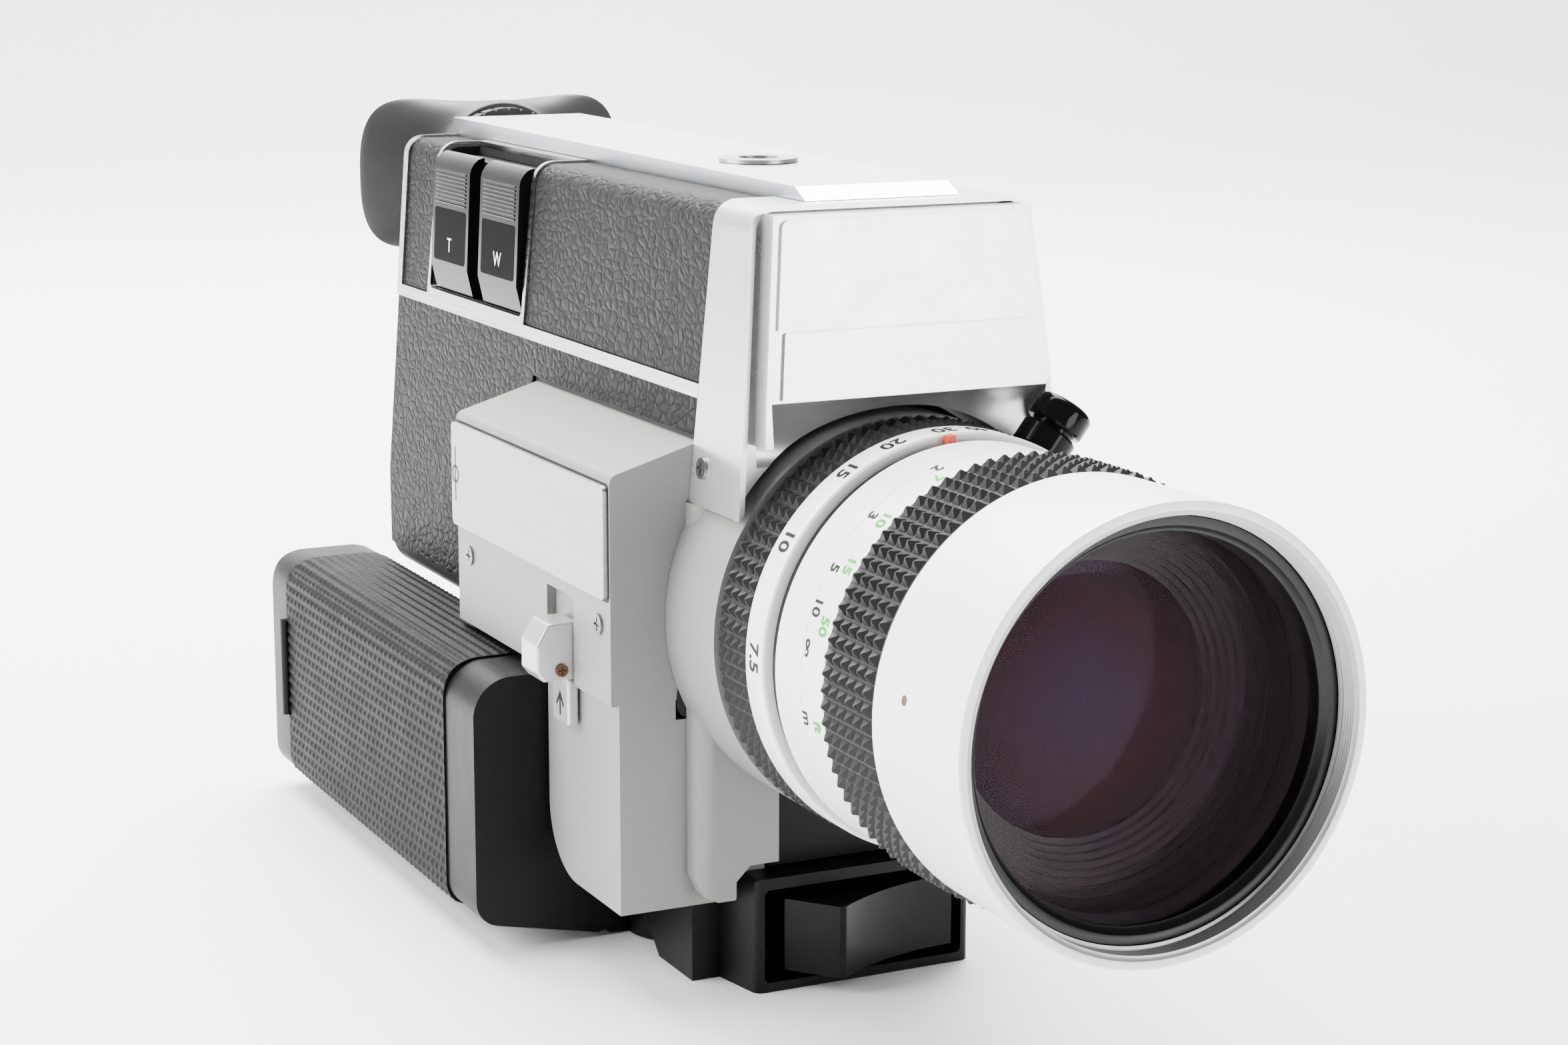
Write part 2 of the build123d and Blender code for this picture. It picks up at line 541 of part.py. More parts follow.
# slide switch: knob in the slot, with an engraved tab below it
SLIDE_TRAVEL = 3.0
with BuildPart() as slide_switch:
    with BuildSketch(at_y(9.4)):
        with BuildLine():
            Polyline((HOUSE_X + 1.2, 47.4), (-44.6, 47.4), (-45.9, 48.6), (-45.9, 53.6), (-44.0, 56.6),
                     (HOUSE_X + 1.2, 56.6), close=True)
        make_face()
    extrude(amount=6.9)
    with BuildSketch(at_y(9.2)):
        with BuildLine():
            Polyline((-39.0, 39.8), (-40.6, 39.8), (-40.9, 40.3), (-40.9, 47.6), (-39.0, 47.6), close=True)
        make_face()
    extrude(amount=6.7)
save(slide_switch.part, "slide_switch")
save(cover_screw(Plane(origin=(-41.9, 2.48, 49.2), x_dir=(1, 0, 0), z_dir=(0, -1, 0)), 1.0, 0.35, 0.5, 0.01),
     "slide_switch_screw")

# ================================================================ cowl round the lens, pillar and foot
with BuildPart() as lens_cowl:
    with BuildSketch(Plane.XY.offset(15.2)):                      # left side, down to the foot
        with Locations((-21.0, -14.5)):
            Rectangle(13.6, 4.0)
    extrude(amount=FRAME_FOOT_Z - 15.25)
    with BuildSketch(Plane.XY.offset(BODY_BOTTOM)):               # plate behind the ring
        with Locations((5.0, -14.5)):
            Rectangle(43.0, 4.0)
    extrude(amount=FRAME_FOOT_Z - BODY_BOTTOM - 0.05)
    cowl_edges = lens_cowl.edges().filter_by(Axis.Z).group_by(Axis.Y)[0]
    fillet([cowl_edges.sort_by(Axis.X)[0], cowl_edges.sort_by(Axis.X)[-1]], 3.0)
    with BuildSketch(at_y(0)):                                    # step down to the narrow tip
        with BuildLine():
            Polyline((-21.4, 10.0), (-21.4, 18.0), (-19.0, 20.4), (0.0, 20.4), (0.0, 10.0), close=True)
        make_face()
    extrude(amount=40, mode=Mode.SUBTRACT)
    with BuildSketch(at_y(0)):                                    # slanted corner of the tip
        with BuildLine():
            Polyline((-30.0, 19.5), (-27.9, 19.5), (-26.4, 16.2), (-24.2, 15.1), (-24.2, 10.0), (-30.0, 10.0),
                     close=True)
        make_face()
    extrude(amount=40, mode=Mode.SUBTRACT)
    with BuildSketch(lens_plane(-12.5)):
        Circle(31.2)
    extrude(amount=-12.5 - COWL_FRONT)
    with BuildSketch(lens_plane(-12.4)):
        Circle(TUBE_OUT + 0.1)
    extrude(amount=30, mode=Mode.SUBTRACT)
save(lens_cowl.part, "lens_cowl")

with BuildPart() as front_pillar:
    with BuildSketch(Plane.YZ.offset(-14.0)):
        with BuildLine():
            Polyline((-12.3, 43.5), (17.5, 43.5), (17.5, 13.95), (-7.8, 13.95), (-7.8, 18.4), (-12.3, 18.4),
                     close=True)
        make_face()
    extrude(amount=32.0)
    with BuildSketch(Plane.YZ.offset(-12.0)):
        with Locations((5.0, 29.5)):
            Rectangle(20.0, 24.0)
    extrude(amount=28.0, mode=Mode.SUBTRACT)
save(front_pillar.part, "front_pillar")

FOLD_AXIS = (0, -1, 1)


def fold_plane(along):
    """Plane square to the grip's fold axis, at a distance along it from the foot's rear edge."""
    step = along / math.sqrt(2)
    return Plane(origin=(HINGE_X, HINGE_Y - step, step), x_dir=(1, 0, 0), z_dir=FOLD_AXIS)


SPRING_X, SPRING_Z, SPRING_POCKET_R, SPRING_POCKET_END = 10.5, 8.7, 3.2, 2.0
GUIDE_R, GUIDE_END = 1.4, 5.0
with BuildPart() as foot:
    with BuildSketch(Plane.XY):
        with Locations(((FOOT_LEFT + FOOT_RIGHT) / 2, (FOOT_FRONT + FOOT_REAR) / 2)):
            Rectangle(FOOT_RIGHT - FOOT_LEFT, FOOT_REAR - FOOT_FRONT)
    extrude(amount=13.8)
    with BuildSketch(fold_plane(HINGE_LEG)):                      # bevel that the grip's hinge turns against
        Rectangle(12.0, 40.0)
    lug_room = extrude(amount=-40, mode=Mode.PRIVATE)
    add(lug_room, mode=Mode.SUBTRACT)
    with BuildSketch(fold_plane(HINGE_LEG - 1)):
        Circle(HINGE_PIN_R)
    extrude(amount=6.5, mode=Mode.SUBTRACT)
    with BuildSketch(Plane.XY):                                   # seat of the tripod bush
        Circle(5.0)
    extrude(amount=10.5, mode=Mode.SUBTRACT)
    with BuildSketch(at_y(FOOT_FRONT - 1)):                       # pockets of the trigger springs
        with Locations((-SPRING_X, SPRING_Z), (SPRING_X, SPRING_Z)):
            Circle(SPRING_POCKET_R)
    extrude(amount=-(SPRING_POCKET_END - FOOT_FRONT + 1), mode=Mode.SUBTRACT)
    with BuildSketch(at_y(FOOT_FRONT - 1)):
        with Locations((-SPRING_X, SPRING_Z), (SPRING_X, SPRING_Z)):
            Circle(GUIDE_R + 0.06)
    extrude(amount=-(GUIDE_END + 3.5 - FOOT_FRONT + 1), mode=Mode.SUBTRACT)
save(foot.part, "foot")

with BuildPart() as tripod_bush:
    with BuildSketch(Plane.XY):
        Circle(4.98)
    extrude(amount=10.45)
    with BuildSketch(Plane.XY):
        Circle(TRIPOD_THREAD_R)
    extrude(amount=TRIPOD_DEPTH, mode=Mode.SUBTRACT)
save(tripod_bush.part, "tripod_bush")

with BuildPart() as hinge_pin:
    with BuildSketch(fold_plane(2.6)):
        Circle(HINGE_PIN_R - 0.02)
    extrude(amount=HINGE_LEG + 5.3 - 2.6)
save(hinge_pin.part, "hinge_pin")

with BuildPart() as trigger_guard:
    with BuildSketch(Plane.XY):
        with BuildLine():
            Polyline((-GUARD_HALF - GUARD_FLARE, FOOT_FRONT - 0.05), (-GUARD_HALF, GUARD_FRONT),
                     (GUARD_HALF, GUARD_FRONT), (GUARD_HALF + GUARD_FLARE, FOOT_FRONT - 0.05), close=True)
        make_face()
    extrude(amount=GUARD_TOP)
    guard_front = trigger_guard.edges().group_by(Axis.Y)[0]
    fillet(guard_front.filter_by(Axis.Z), 1.5)
    with BuildSketch(at_y(FOOT_FRONT + 1)):                       # rounded shoulder beside the cowl's tip
        with BuildLine():
            Polyline((-21.0, 14.9), (-21.0, 19.0), (-17.4, 19.0), close=True)
        make_face()
    extrude(amount=20, mode=Mode.SUBTRACT)
    with BuildSketch(at_y(FOOT_FRONT + 1)):                       # clears the housing's leg
        with Locations((-24.4, 20.0)):
            Rectangle(20.0, 12.6)
    extrude(amount=FOOT_FRONT + 1 + 12.6, mode=Mode.SUBTRACT)
    with BuildSketch(at_y(FOOT_FRONT + 1)):
        with Locations((-0.05, 8.95)):
            RectangleRounded(34.3, 14.9, 1.0)
    extrude(amount=20, mode=Mode.SUBTRACT)
save(trigger_guard.part, "trigger_guard")

TRIGGER_TRAVEL = 2.2
with BuildPart() as trigger:
    with BuildSketch(Plane.XY.offset(3.0)):
        with BuildLine():
            Polyline((-13.4, -10.9), (-13.4, -16.9), (-7.6, -24.2), (-6.6, -24.4))
            ThreePointArc((-6.6, -24.4), (3.4, -19.4), (15.6, -17.4))
            Line((15.6, -17.4), (15.6, -10.9))
            Line((15.6, -10.9), (-13.4, -10.9))
        make_face()
    extrude(amount=11.4)
    fillet(trigger.edges().filter_by(Axis.Z).group_by(Axis.Y)[0], 0.5)
    with BuildSketch(at_y(-11.5)):
        with Locations((-SPRING_X, SPRING_Z), (SPRING_X, SPRING_Z)):
            Circle(GUIDE_R)
    extrude(amount=-(GUIDE_END + 11.5))
save(trigger.part, "trigger")


def coil_spring(x, y_start, length, coil_r, wire_r, turns):
    """An open coil spring along Y."""
    with BuildPart() as spring:
        with BuildLine() as path:
            Helix(pitch=length / turns, height=length, radius=coil_r, center=(x, y_start, SPRING_Z),
                  direction=(0, 1, 0))
        with BuildSketch(Plane(origin=path.line @ 0, z_dir=path.line % 0)):
            Circle(wire_r)
        sweep()
    return spring.part


with BuildPart() as trigger_springs:
    for x in (-SPRING_X, SPRING_X):
        add(coil_spring(x, FOOT_FRONT + 0.5, SPRING_POCKET_END - FOOT_FRONT - 1.0, 2.35, 0.35, 5))
save(trigger_springs.part, "trigger_springs")

# ================================================================ lens
BAFFLE_REAR, BAFFLE_FRONT = -79.2, -86.0
BAFFLE_SMALL_R, BAFFLE_LARGE_R = 19.2, 25.2
SECOND_LENS_R = 19.85


def baffle_wall(steps=7):
    """(y, r) corners of the stepped cone, from its narrow rear end to its wide front."""
    dy = (BAFFLE_FRONT - BAFFLE_REAR) / steps
    dr = (BAFFLE_LARGE_R - BAFFLE_SMALL_R) / steps
    wall = [(BAFFLE_REAR, BAFFLE_SMALL_R)]
    for i in range(steps):
        wall.append((BAFFLE_REAR + dy * (i + 1), BAFFLE_SMALL_R + dr * i))
        wall.append((BAFFLE_REAR + dy * (i + 1), BAFFLE_SMALL_R + dr * (i + 1)))
    return wall


with BuildPart() as lens_tube:
    add(lens_ring(-86.5, -12.45, TUBE_OUT, TUBE_IN))
    add(turned(baffle_wall() + [(BAFFLE_FRONT, TUBE_IN + 0.5), (-73.5, TUBE_IN + 0.5),
                                (-73.5, SECOND_LENS_R + 0.05), (BAFFLE_REAR, SECOND_LENS_R + 0.05)]))
    add(lens_ring(-15.5, -12.45, TUBE_IN + 0.5, 9.0))
    add(lens_ring(-40.0, -15.0, 12.0, 10.0))
save(lens_tube.part, "lens_tube")
save(lens_element(BAFFLE_REAR + 0.1, -74.2, SECOND_LENS_R, 1.0, 0.6), "second_lens")

save(turned([(SLEEVE_REAR + 0.15, TUBE_OUT + 0.03), (SLEEVE_REAR + 0.15, 29.5), (SCALE_RING_FRONT - 0.15, 29.5),
             (SCALE_RING_FRONT - 0.15, TUBE_OUT + 0.03)]), "index_ring")

RUBBER_SEAT_R = 30.0
THREAD_END = RIM_Y + 3.25
save(turned([(RIM_Y, 29.56), (RIM_Y + 0.3, FILTER_THREAD_R), (RIM_Y + 3.2, FILTER_THREAD_R), (RIM_Y + 3.2, 28.6),
             (-93.4, 28.6), (-93.4, 28.0), (-88.4, 28.0), (-88.4, TUBE_OUT + 0.06), (SLEEVE_REAR, TUBE_OUT + 0.06),
             (SLEEVE_REAR, 30.2), (FOCUS_GRIP_REAR, 30.2), (FOCUS_GRIP_REAR, RUBBER_SEAT_R),
             (FOCUS_GRIP_FRONT, RUBBER_SEAT_R), (FOCUS_GRIP_FRONT, 30.7), (-98.6, 31.0), (RIM_Y + 0.4, 31.0),
             (RIM_Y, 30.7)]), "focus_barrel")
save(turned([(FOCUS_GRIP_FRONT + 0.1, RUBBER_SEAT_R + 0.02), (FOCUS_GRIP_REAR - 0.1, RUBBER_SEAT_R + 0.02),
             (FOCUS_GRIP_REAR - 0.1, 31.4), (FOCUS_GRIP_FRONT + 0.1, 31.4)]), "focus_rubber")

with BuildPart() as retaining_ring:
    add(turned([(THREAD_END, 28.5), (THREAD_END, 27.0), (-93.0, 25.4), (-92.4, 25.4), (-92.4, 27.5),
                (-93.5, 27.9), (-93.5, 28.5)]))
    with BuildSketch(lens_plane(THREAD_END - 1)):
        with Locations((-27.6, 0), (27.6, 0)):
            Rectangle(2.0, 3.0)
    extrude(amount=-2.4, mode=Mode.SUBTRACT)
save(retaining_ring.part, "retaining_ring")
save(lens_element(-92.3, -88.5, 27.9, 0.02, -1.2), "front_lens")

ZOOM_PITCH_SEAT = RUBBER_SEAT_R
save(turned([(SCALE_RING_FRONT, TUBE_OUT + 0.06), (SCALE_RING_FRONT, 31.1), (ZOOM_GRIP_FRONT, 31.1),
             (ZOOM_GRIP_FRONT, ZOOM_PITCH_SEAT), (ZOOM_GRIP_REAR, ZOOM_PITCH_SEAT),
             (ZOOM_GRIP_REAR, TUBE_OUT + 0.06)]), "zoom_ring")
with BuildPart() as zoom_rubber:
    add(turned([(ZOOM_GRIP_FRONT + 0.1, ZOOM_PITCH_SEAT + 0.02), (ZOOM_GRIP_REAR, ZOOM_PITCH_SEAT + 0.02),
                (ZOOM_GRIP_REAR, 31.35), (ZOOM_GRIP_FRONT + 0.1, 31.35)]))
    with BuildSketch(lever_plane(0)):
        Circle(2.55)
    extrude(amount=40, mode=Mode.SUBTRACT)
save(zoom_rubber.part, "zoom_rubber")


with BuildPart() as zoom_lever:
    with BuildSketch(lever_plane(30.05)):
        Circle(2.5)
    extrude(amount=2.0)
    with BuildSketch(lever_plane(31.4)):
        Circle(4.35)
    extrude(amount=3.8)
    with BuildSketch(lever_plane(35.2)):
        Circle(3.5)
    extrude(amount=0.75)
    with BuildSketch(lever_plane(35.9)):
        Circle(4.5)
    extrude(amount=4.1)
    lever_top = (40 * lever_dir[0], LEVER_Y, LENS_Z + 40 * lever_dir[2])
    fillet(zoom_lever.edges().filter_by(GeomType.CIRCLE).sort_by_distance(lever_top)[0], 1.2)
save(zoom_lever.part, "zoom_lever")

CELL_FRONT, CELL_REAR = -54.0, -44.0
save(turned([(CELL_FRONT, 16.1), (CELL_FRONT, TUBE_IN - 0.05), (CELL_REAR, TUBE_IN - 0.05),
             (CELL_REAR, 23.0), (CELL_REAR - 4.0, 22.0), (CELL_REAR - 4.0, 16.1)]), "zoom_cell")
save(lens_element(CELL_FRONT + 1.2, CELL_FRONT + 4.8, 16.05, -0.9, -0.9), "variator_lens")
save(lens_element(-36.0, -30.0, 9.95, 1.0, 1.0), "rear_lens")
with BuildPart() as beam_splitter:
    with BuildSketch(at_y(3.0)):
        with Locations((0, LENS_Z)):
            Rectangle(11.0, 11.0)
    extrude(amount=11.0)
save(beam_splitter.part, "beam_splitter")

# ================================================================ inside the body
PLATE_X = -12.9
with BuildPart() as mechanism_plate:
    with BuildSketch(Plane.YZ.offset(PLATE_X)):
        with BuildLine():
            Polyline((48.6, 46.0), (112.0, 46.0), (117.0, 58.0), (119.5, 116.0), (48.6, 116.0), close=True)
        make_face()
        with Locations((84.0, 96.0)):
            Circle(2.2, mode=Mode.SUBTRACT)
    extrude(amount=0.9)
save(mechanism_plate.part, "mechanism_plate")

with BuildPart() as film_gate:
    with BuildSketch(at_y(51.4)):
        with Locations((-0.5, 60.5)):
            Rectangle(22.9, 27.0)
        with Locations((0, LENS_Z)):
            Rectangle(5.8, 4.2, mode=Mode.SUBTRACT)
        with Locations((4.3, 66.5)):
            Rectangle(1.4, 4.6, mode=Mode.SUBTRACT)
    extrude(amount=1.5)
save(film_gate.part, "film_gate")

with BuildPart() as film_claw:
    with BuildSketch(Plane.YZ.offset(3.9)):
        with BuildLine():
            Polyline((48.2, 64.9), (52.1, 64.9), (52.1, 65.5), (49.3, 66.2), (49.3, 71.0), (48.2, 71.0), close=True)
        make_face()
    extrude(amount=0.8)
save(film_claw.part, "film_claw")

MOTOR_X, MOTOR_Z, MOTOR_R = -9.0, 92.0, 9.0
MESH_ANGLE = math.degrees(math.atan2(MOTOR_Z - SHUTTER_Z, MOTOR_X))
with BuildPart() as shutter_disc:
    with BuildSketch(Plane(origin=(0, 47.3, SHUTTER_Z), x_dir=(1, 0, 0), z_dir=(0, -1, 0))):
        Circle(SHUTTER_R)
        with BuildLine():
            Polyline((0, 0), (40, -12), (40, -60), (-40, -60), (-40, -12), close=True)
        make_face(mode=Mode.SUBTRACT)
        Circle(7.0)
    extrude(amount=0.8)
    add(lens_ring(12.0, 47.0, SHAFT_R - 0.02, 0, (0, SHUTTER_Z)))
save(shutter_disc.part, "shutter_disc")
save(toothed_disc(48, 0.5, 40.2, 42.8, (0, SHUTTER_Z), SHAFT_R, MESH_ANGLE), "shutter_gear")
save(toothed_disc(12, 0.5, 39.8, 43.2, (MOTOR_X, MOTOR_Z), 0.8, MESH_ANGLE + 180 + 15), "motor_pinion")
with BuildPart() as motor:
    add(lens_ring(9.0, 37.5, MOTOR_R, 0, (MOTOR_X, MOTOR_Z)))
    add(lens_ring(37.5, 39.5, 2.5, 0, (MOTOR_X, MOTOR_Z)))
    add(lens_ring(39.5, 43.5, 0.74, 0, (MOTOR_X, MOTOR_Z)))
save(motor.part, "motor")
with BuildPart() as film_spindle:
    with BuildSketch(Plane.YZ.offset(-15.0)):
        with Locations((84.0, 96.0)):
            Circle(2.12)
    extrude(amount=6.0)
    with BuildSketch(Plane.YZ.offset(-9.0)):
        with Locations((84.0, 96.0)):
            Circle(1.2)
            Rectangle(5.6, 0.9)
    extrude(amount=2.0)
save(film_spindle.part, "film_spindle")

with BuildPart() as finder_tube:
    add(lens_ring(5.0, 121.0, 2.7, 2.2, (-15.9, 112.0)))
save(finder_tube.part, "finder_tube")

# ================================================================ eyepiece
EYE_Z = 111.0
with BuildPart() as eyepiece_housing:
    with BuildSketch(Plane.YZ.offset(-20.0)):
        with BuildLine():
            Polyline((123.3, 100.0), (130.0, 100.0), (130.0, 121.0), (124.6, 121.0), close=True)
        make_face()
    extrude(amount=34.0)
    fillet(eyepiece_housing.edges().filter_by(Axis.Y), 3.0)
    add(lens_ring(129.9, 139.0, 10.0, 8.6, (0, EYE_Z)))
    with BuildSketch(at_y(129.0)):
        with Locations((-8.0, EYE_Z)):
            Rectangle(21.0, 8.0)
    extrude(amount=10.0, mode=Mode.SUBTRACT)
    with BuildSketch(at_y(131.0)):
        with Locations((0, EYE_Z)):
            Circle(4.0)
    extrude(amount=4.0, mode=Mode.SUBTRACT)
save(eyepiece_housing.part, "eyepiece_housing")
with BuildPart() as eyepiece_lens:
    add(lens_ring(133.5, 136.5, 8.58, 0, (0, EYE_Z)))
save(eyepiece_lens.part, "eyepiece_lens")
with BuildPart() as dioptre_ring:
    add(lens_ring(130.2, 132.9, 14.6, 10.06, (0, EYE_Z)))
    with BuildSketch(Plane(origin=(0, 132.9, EYE_Z), x_dir=(1, 0, 0), z_dir=(0, -1, 0))):
        with PolarLocations(14.6, 36):
            Circle(0.3)
    extrude(amount=2.7, mode=Mode.SUBTRACT)
save(dioptre_ring.part, "dioptre_ring")


def eye_section(y, half_w, half_h, power, waist):
    """An outline of the eyecup on the plane at y, drawn in by waist at its middle above and below."""
    count = 32
    points = []
    for i in range(count):
        turn = 2 * math.pi * i / count
        c, s = math.cos(turn), math.sin(turn)
        across = math.copysign(abs(c) ** (2 / power), c)
        up = half_h * math.copysign(abs(s) ** (2 / power), s)
        points.append((half_w * across, EYE_Z + EYECUP_RISE + up * (1 - waist * (1 - across ** 2))))
    with BuildSketch(at_y(y)) as section:
        with BuildLine():
            Spline(*points, periodic=True)
        make_face()
    return section.sketch


EYECUP_RISE = 2.0
EYECUP_OUTER = [(133.2, 13.3, 13.3, 2.0, 0.0), (135.0, 14.6, 13.8, 2.0, 0.0), (137.4, 20.4, 15.5, 2.3, 0.12),
                (140.2, 27.0, 20.9, 2.8, 0.37)]
EYECUP_INNER = [(133.1, 12.15, 12.15, 2.0, 0.0), (135.0, 12.7, 12.3, 2.0, 0.0), (137.4, 18.3, 13.95, 2.3, 0.12),
                (140.3, 25.4, 19.2, 2.8, 0.36)]
with BuildPart() as eyecup:
    for y, half_w, half_h, power, waist in EYECUP_OUTER:
        add(eye_section(y, half_w, half_h, power, waist))
    loft()
    with BuildPart(mode=Mode.PRIVATE) as eye_hollow:
        for y, half_w, half_h, power, waist in EYECUP_INNER:
            add(eye_section(y, half_w, half_h, power, waist))
        loft()
    add(eye_hollow.part, mode=Mode.SUBTRACT)
    add(lens_ring(133.2, 134.6, 12.6, 10.04, (0, EYE_Z)))           # collar that grips the eyepiece
save(eyecup.part, "eyecup")

# ================================================================ film door, right side
DOOR_T = 2.0


def door_knuckle(z_low, z_high, radius, bore):
    """A length of the door's hinge barrel between two heights, square to the hinge line."""
    plane = Plane(origin=(side_x(z_low, HINGE_PROUD), DOOR_HINGE_Y, z_low), x_dir=(0, 1, 0),
                  z_dir=(-SIDE_SLOPE, 0, 1))
    with BuildPart() as barrel:
        with BuildSketch(plane):
            Circle(radius)
            if bore:
                Circle(bore, mode=Mode.SUBTRACT)
        extrude(amount=(z_high - z_low) * math.sqrt(1 + SIDE_SLOPE ** 2))
    return barrel.part


with BuildPart() as film_door:
    with BuildSketch(side_plane(DOOR_Y, DOOR_Z)):
        RectangleRounded(DOOR_LENGTH, DOOR_HEIGHT, 4.0)
    extrude(amount=-DOOR_T)
    for z_low, z_high in ((60.3, 68.0), (95.0, 102.7)):            # moving half of the hinge
        add(door_knuckle(z_low, z_high, 1.6, 0))
        with BuildSketch(side_plane(DOOR_HINGE_Y + 2.3, (z_low + z_high) / 2, 0.3)):
            Rectangle(4.6, z_high - z_low)
        extrude(amount=1.4)
        with BuildSketch(side_plane(DOOR_HINGE_Y + 3.8, (z_low + z_high) / 2, -0.5)):
            Rectangle(1.5, z_high - z_low)
        extrude(amount=1.2)
        add(door_knuckle(z_low - 1, z_high + 1, 0.95, 0), mode=Mode.SUBTRACT)
save(film_door.part, "film_door")

with BuildPart() as door_leather:
    with BuildSketch(side_plane(DOOR_Y + 1.0, DOOR_Z, 0.02)):
        RectangleRounded(DOOR_LENGTH - 2.0, DOOR_HEIGHT, 3.8)
    extrude(amount=LEATHER_T)
    with BuildSketch(side_plane(108.0, 76.0, -1)):                 # clears the latch
        Circle(7.3)
    extrude(amount=5, mode=Mode.SUBTRACT)
save(door_leather.part, "door_leather")

with BuildPart() as door_latch:
    with BuildSketch(side_plane(108.0, 76.0, 0.3)):
        Circle(7.0)
    extrude(amount=1.2)
    with BuildSketch(side_plane(108.0, 76.0, 1.5)):
        Rectangle(3.0, 12.5)
    extrude(amount=2.2)
    fillet(door_latch.edges().group_by(Axis.X)[-1], 0.5)
save(door_latch.part, "door_latch")


with BuildPart() as door_hinge:                                    # fixed half and its pin
    for z_low, z_high in ((52.0, 60.0), (103.0, 111.0)):
        add(door_knuckle(z_low, z_high, 1.6, 0))
        with BuildSketch(side_plane(DOOR_HINGE_Y - 1.6, (z_low + z_high) / 2, 0.05)):
            Rectangle(4.0, z_high - z_low)
        extrude(amount=1.2)
    add(door_knuckle(59.9, 68.0, 0.9, 0))
    add(door_knuckle(95.0, 103.1, 0.9, 0))
save(door_hinge.part, "door_hinge")

with BuildPart() as leather_right:                                 # round the door
    add(side_skin([(BODY_FRONT + 0.1, 46.8), (116.6, 46.8), (120.6, 60.0), (124.0, 121.2), (124.0, 130.0),
                   (BODY_FRONT + 0.1, 130.0)], 0.02, LEATHER_T, side=1))
    with BuildSketch(side_plane(DOOR_Y, DOOR_Z, -1)):
        Rectangle(DOOR_LENGTH + 1.0, DOOR_HEIGHT + 1.0)
    extrude(amount=5, mode=Mode.SUBTRACT)
    with BuildSketch(side_plane(DOOR_HINGE_Y, DOOR_Z, -1)):
        Rectangle(8.0, DOOR_HEIGHT + 1.0)
    extrude(amount=5, mode=Mode.SUBTRACT)
save(leather_right.part, "leather_right")

# ================================================================ folding grip
FOLD_RELIEF = [(0.0, 14.2), (21.6, 14.2), (22.3, 15.3), (24.9, 17.0), (25.6, 18.0), (27.2, 20.0), (38.6, 34.0),
               (44.0, 40.0), (0.0, 40.0)]     # (radius, distance along the fold axis)


def fold_relief():
    """Room the grip leaves round the fold axis, so that it passes the drive housing."""
    with BuildPart() as relief:
        with BuildSketch(Plane(origin=(HINGE_X, HINGE_Y, 0), x_dir=(1, 0, 0), z_dir=(0, -1, -1))):
            with BuildLine():
                Polyline(*FOLD_RELIEF, close=True)
            make_face()
        revolve(axis=Axis((HINGE_X, HINGE_Y, 0), FOLD_AXIS))
    return relief.part


CAP_INSET, SKIN_T, SHELL_T = 0.6, 1.0, 1.6
LID_AXIS_X, LID_AXIS_Y, LID_KNUCKLE_R = -51.4, 115.45, 0.9


def lid_knuckle(radius, end):
    """Barrel of the battery lid's hinge, grown by end at both ends."""
    with BuildPart() as barrel:
        with BuildSketch(Plane.XY.offset(16.0 - end)):
            with Locations((LID_AXIS_X, LID_AXIS_Y)):
                Circle(radius)
        extrude(amount=18.0 + 2 * end)
    return barrel.part


CELL_X, CELL_ROWS, CELL_START = -40.8, (14.4, 31.4), 21.6
with BuildPart() as grip_shell:
    with BuildSketch(at_y(GRIP_SKIN_FRONT)):
        add(grip_section(CAP_INSET))
    extrude(amount=GRIP_SKIN_FRONT - GRIP_FRONT - 0.1)
    add(fold_relief(), mode=Mode.SUBTRACT)
    with BuildSketch(at_y(GRIP_SKIN_FRONT)):
        add(grip_section(SKIN_T + SHELL_T))
        with Locations((-20.0, 22.0)):
            Rectangle(26.4, 60.0, mode=Mode.SUBTRACT)
    extrude(amount=GRIP_SKIN_FRONT - CELL_START + 0.8, mode=Mode.SUBTRACT)
    with BuildSketch(Plane.XY.offset(0.35)):                       # hinge lug
        with Locations(((HINGE_X - 28.0) / 2, HINGE_Y + 3.8)):
            Rectangle(28.0 + HINGE_X, 7.0)
    extrude(amount=11.0)
    with BuildSketch(fold_plane(-12.0)):
        Circle(HINGE_LUG_R)
    extrude(amount=12.0 + HINGE_LEG - 0.3)
    with BuildSketch(Plane.XY.offset(0.3)):
        with Locations((HINGE_X, HINGE_Y)):
            Rectangle(2 * HINGE_LUG_R + 1.0, 40.0)
    extrude(amount=-20.0, mode=Mode.SUBTRACT)
    with BuildSketch(fold_plane(HINGE_LEG - 0.3)):
        with Locations((4.0, 0)):
            Rectangle(20.0, 30.0)
    extrude(amount=30.0, mode=Mode.SUBTRACT)
    with BuildSketch(fold_plane(-15.0)):
        Circle(HINGE_PIN_R + 0.05)
    extrude(amount=40.0, mode=Mode.SUBTRACT)
    with BuildSketch(at_y(GRIP_SKIN_REAR)):                        # tube under the rubber skin
        add(grip_section(SKIN_T + 0.02))
        add(grip_section(SKIN_T + SHELL_T), mode=Mode.SUBTRACT)
    extrude(amount=GRIP_SKIN_REAR - GRIP_SKIN_FRONT + 0.5)
    add(lid_knuckle(LID_KNUCKLE_R + 0.3, 0.3), mode=Mode.SUBTRACT)
save(grip_shell.part, "grip_shell")
with BuildPart() as grip_rubber:
    with BuildSketch(at_y(GRIP_SKIN_REAR - 0.05)):
        add(grip_section(0.0))
        add(grip_section(SKIN_T), mode=Mode.SUBTRACT)
    extrude(amount=GRIP_SKIN_REAR - GRIP_SKIN_FRONT - 0.15)
    add(lid_knuckle(LID_KNUCKLE_R + 0.3, 0.3), mode=Mode.SUBTRACT)
save(grip_rubber.part, "grip_rubber")

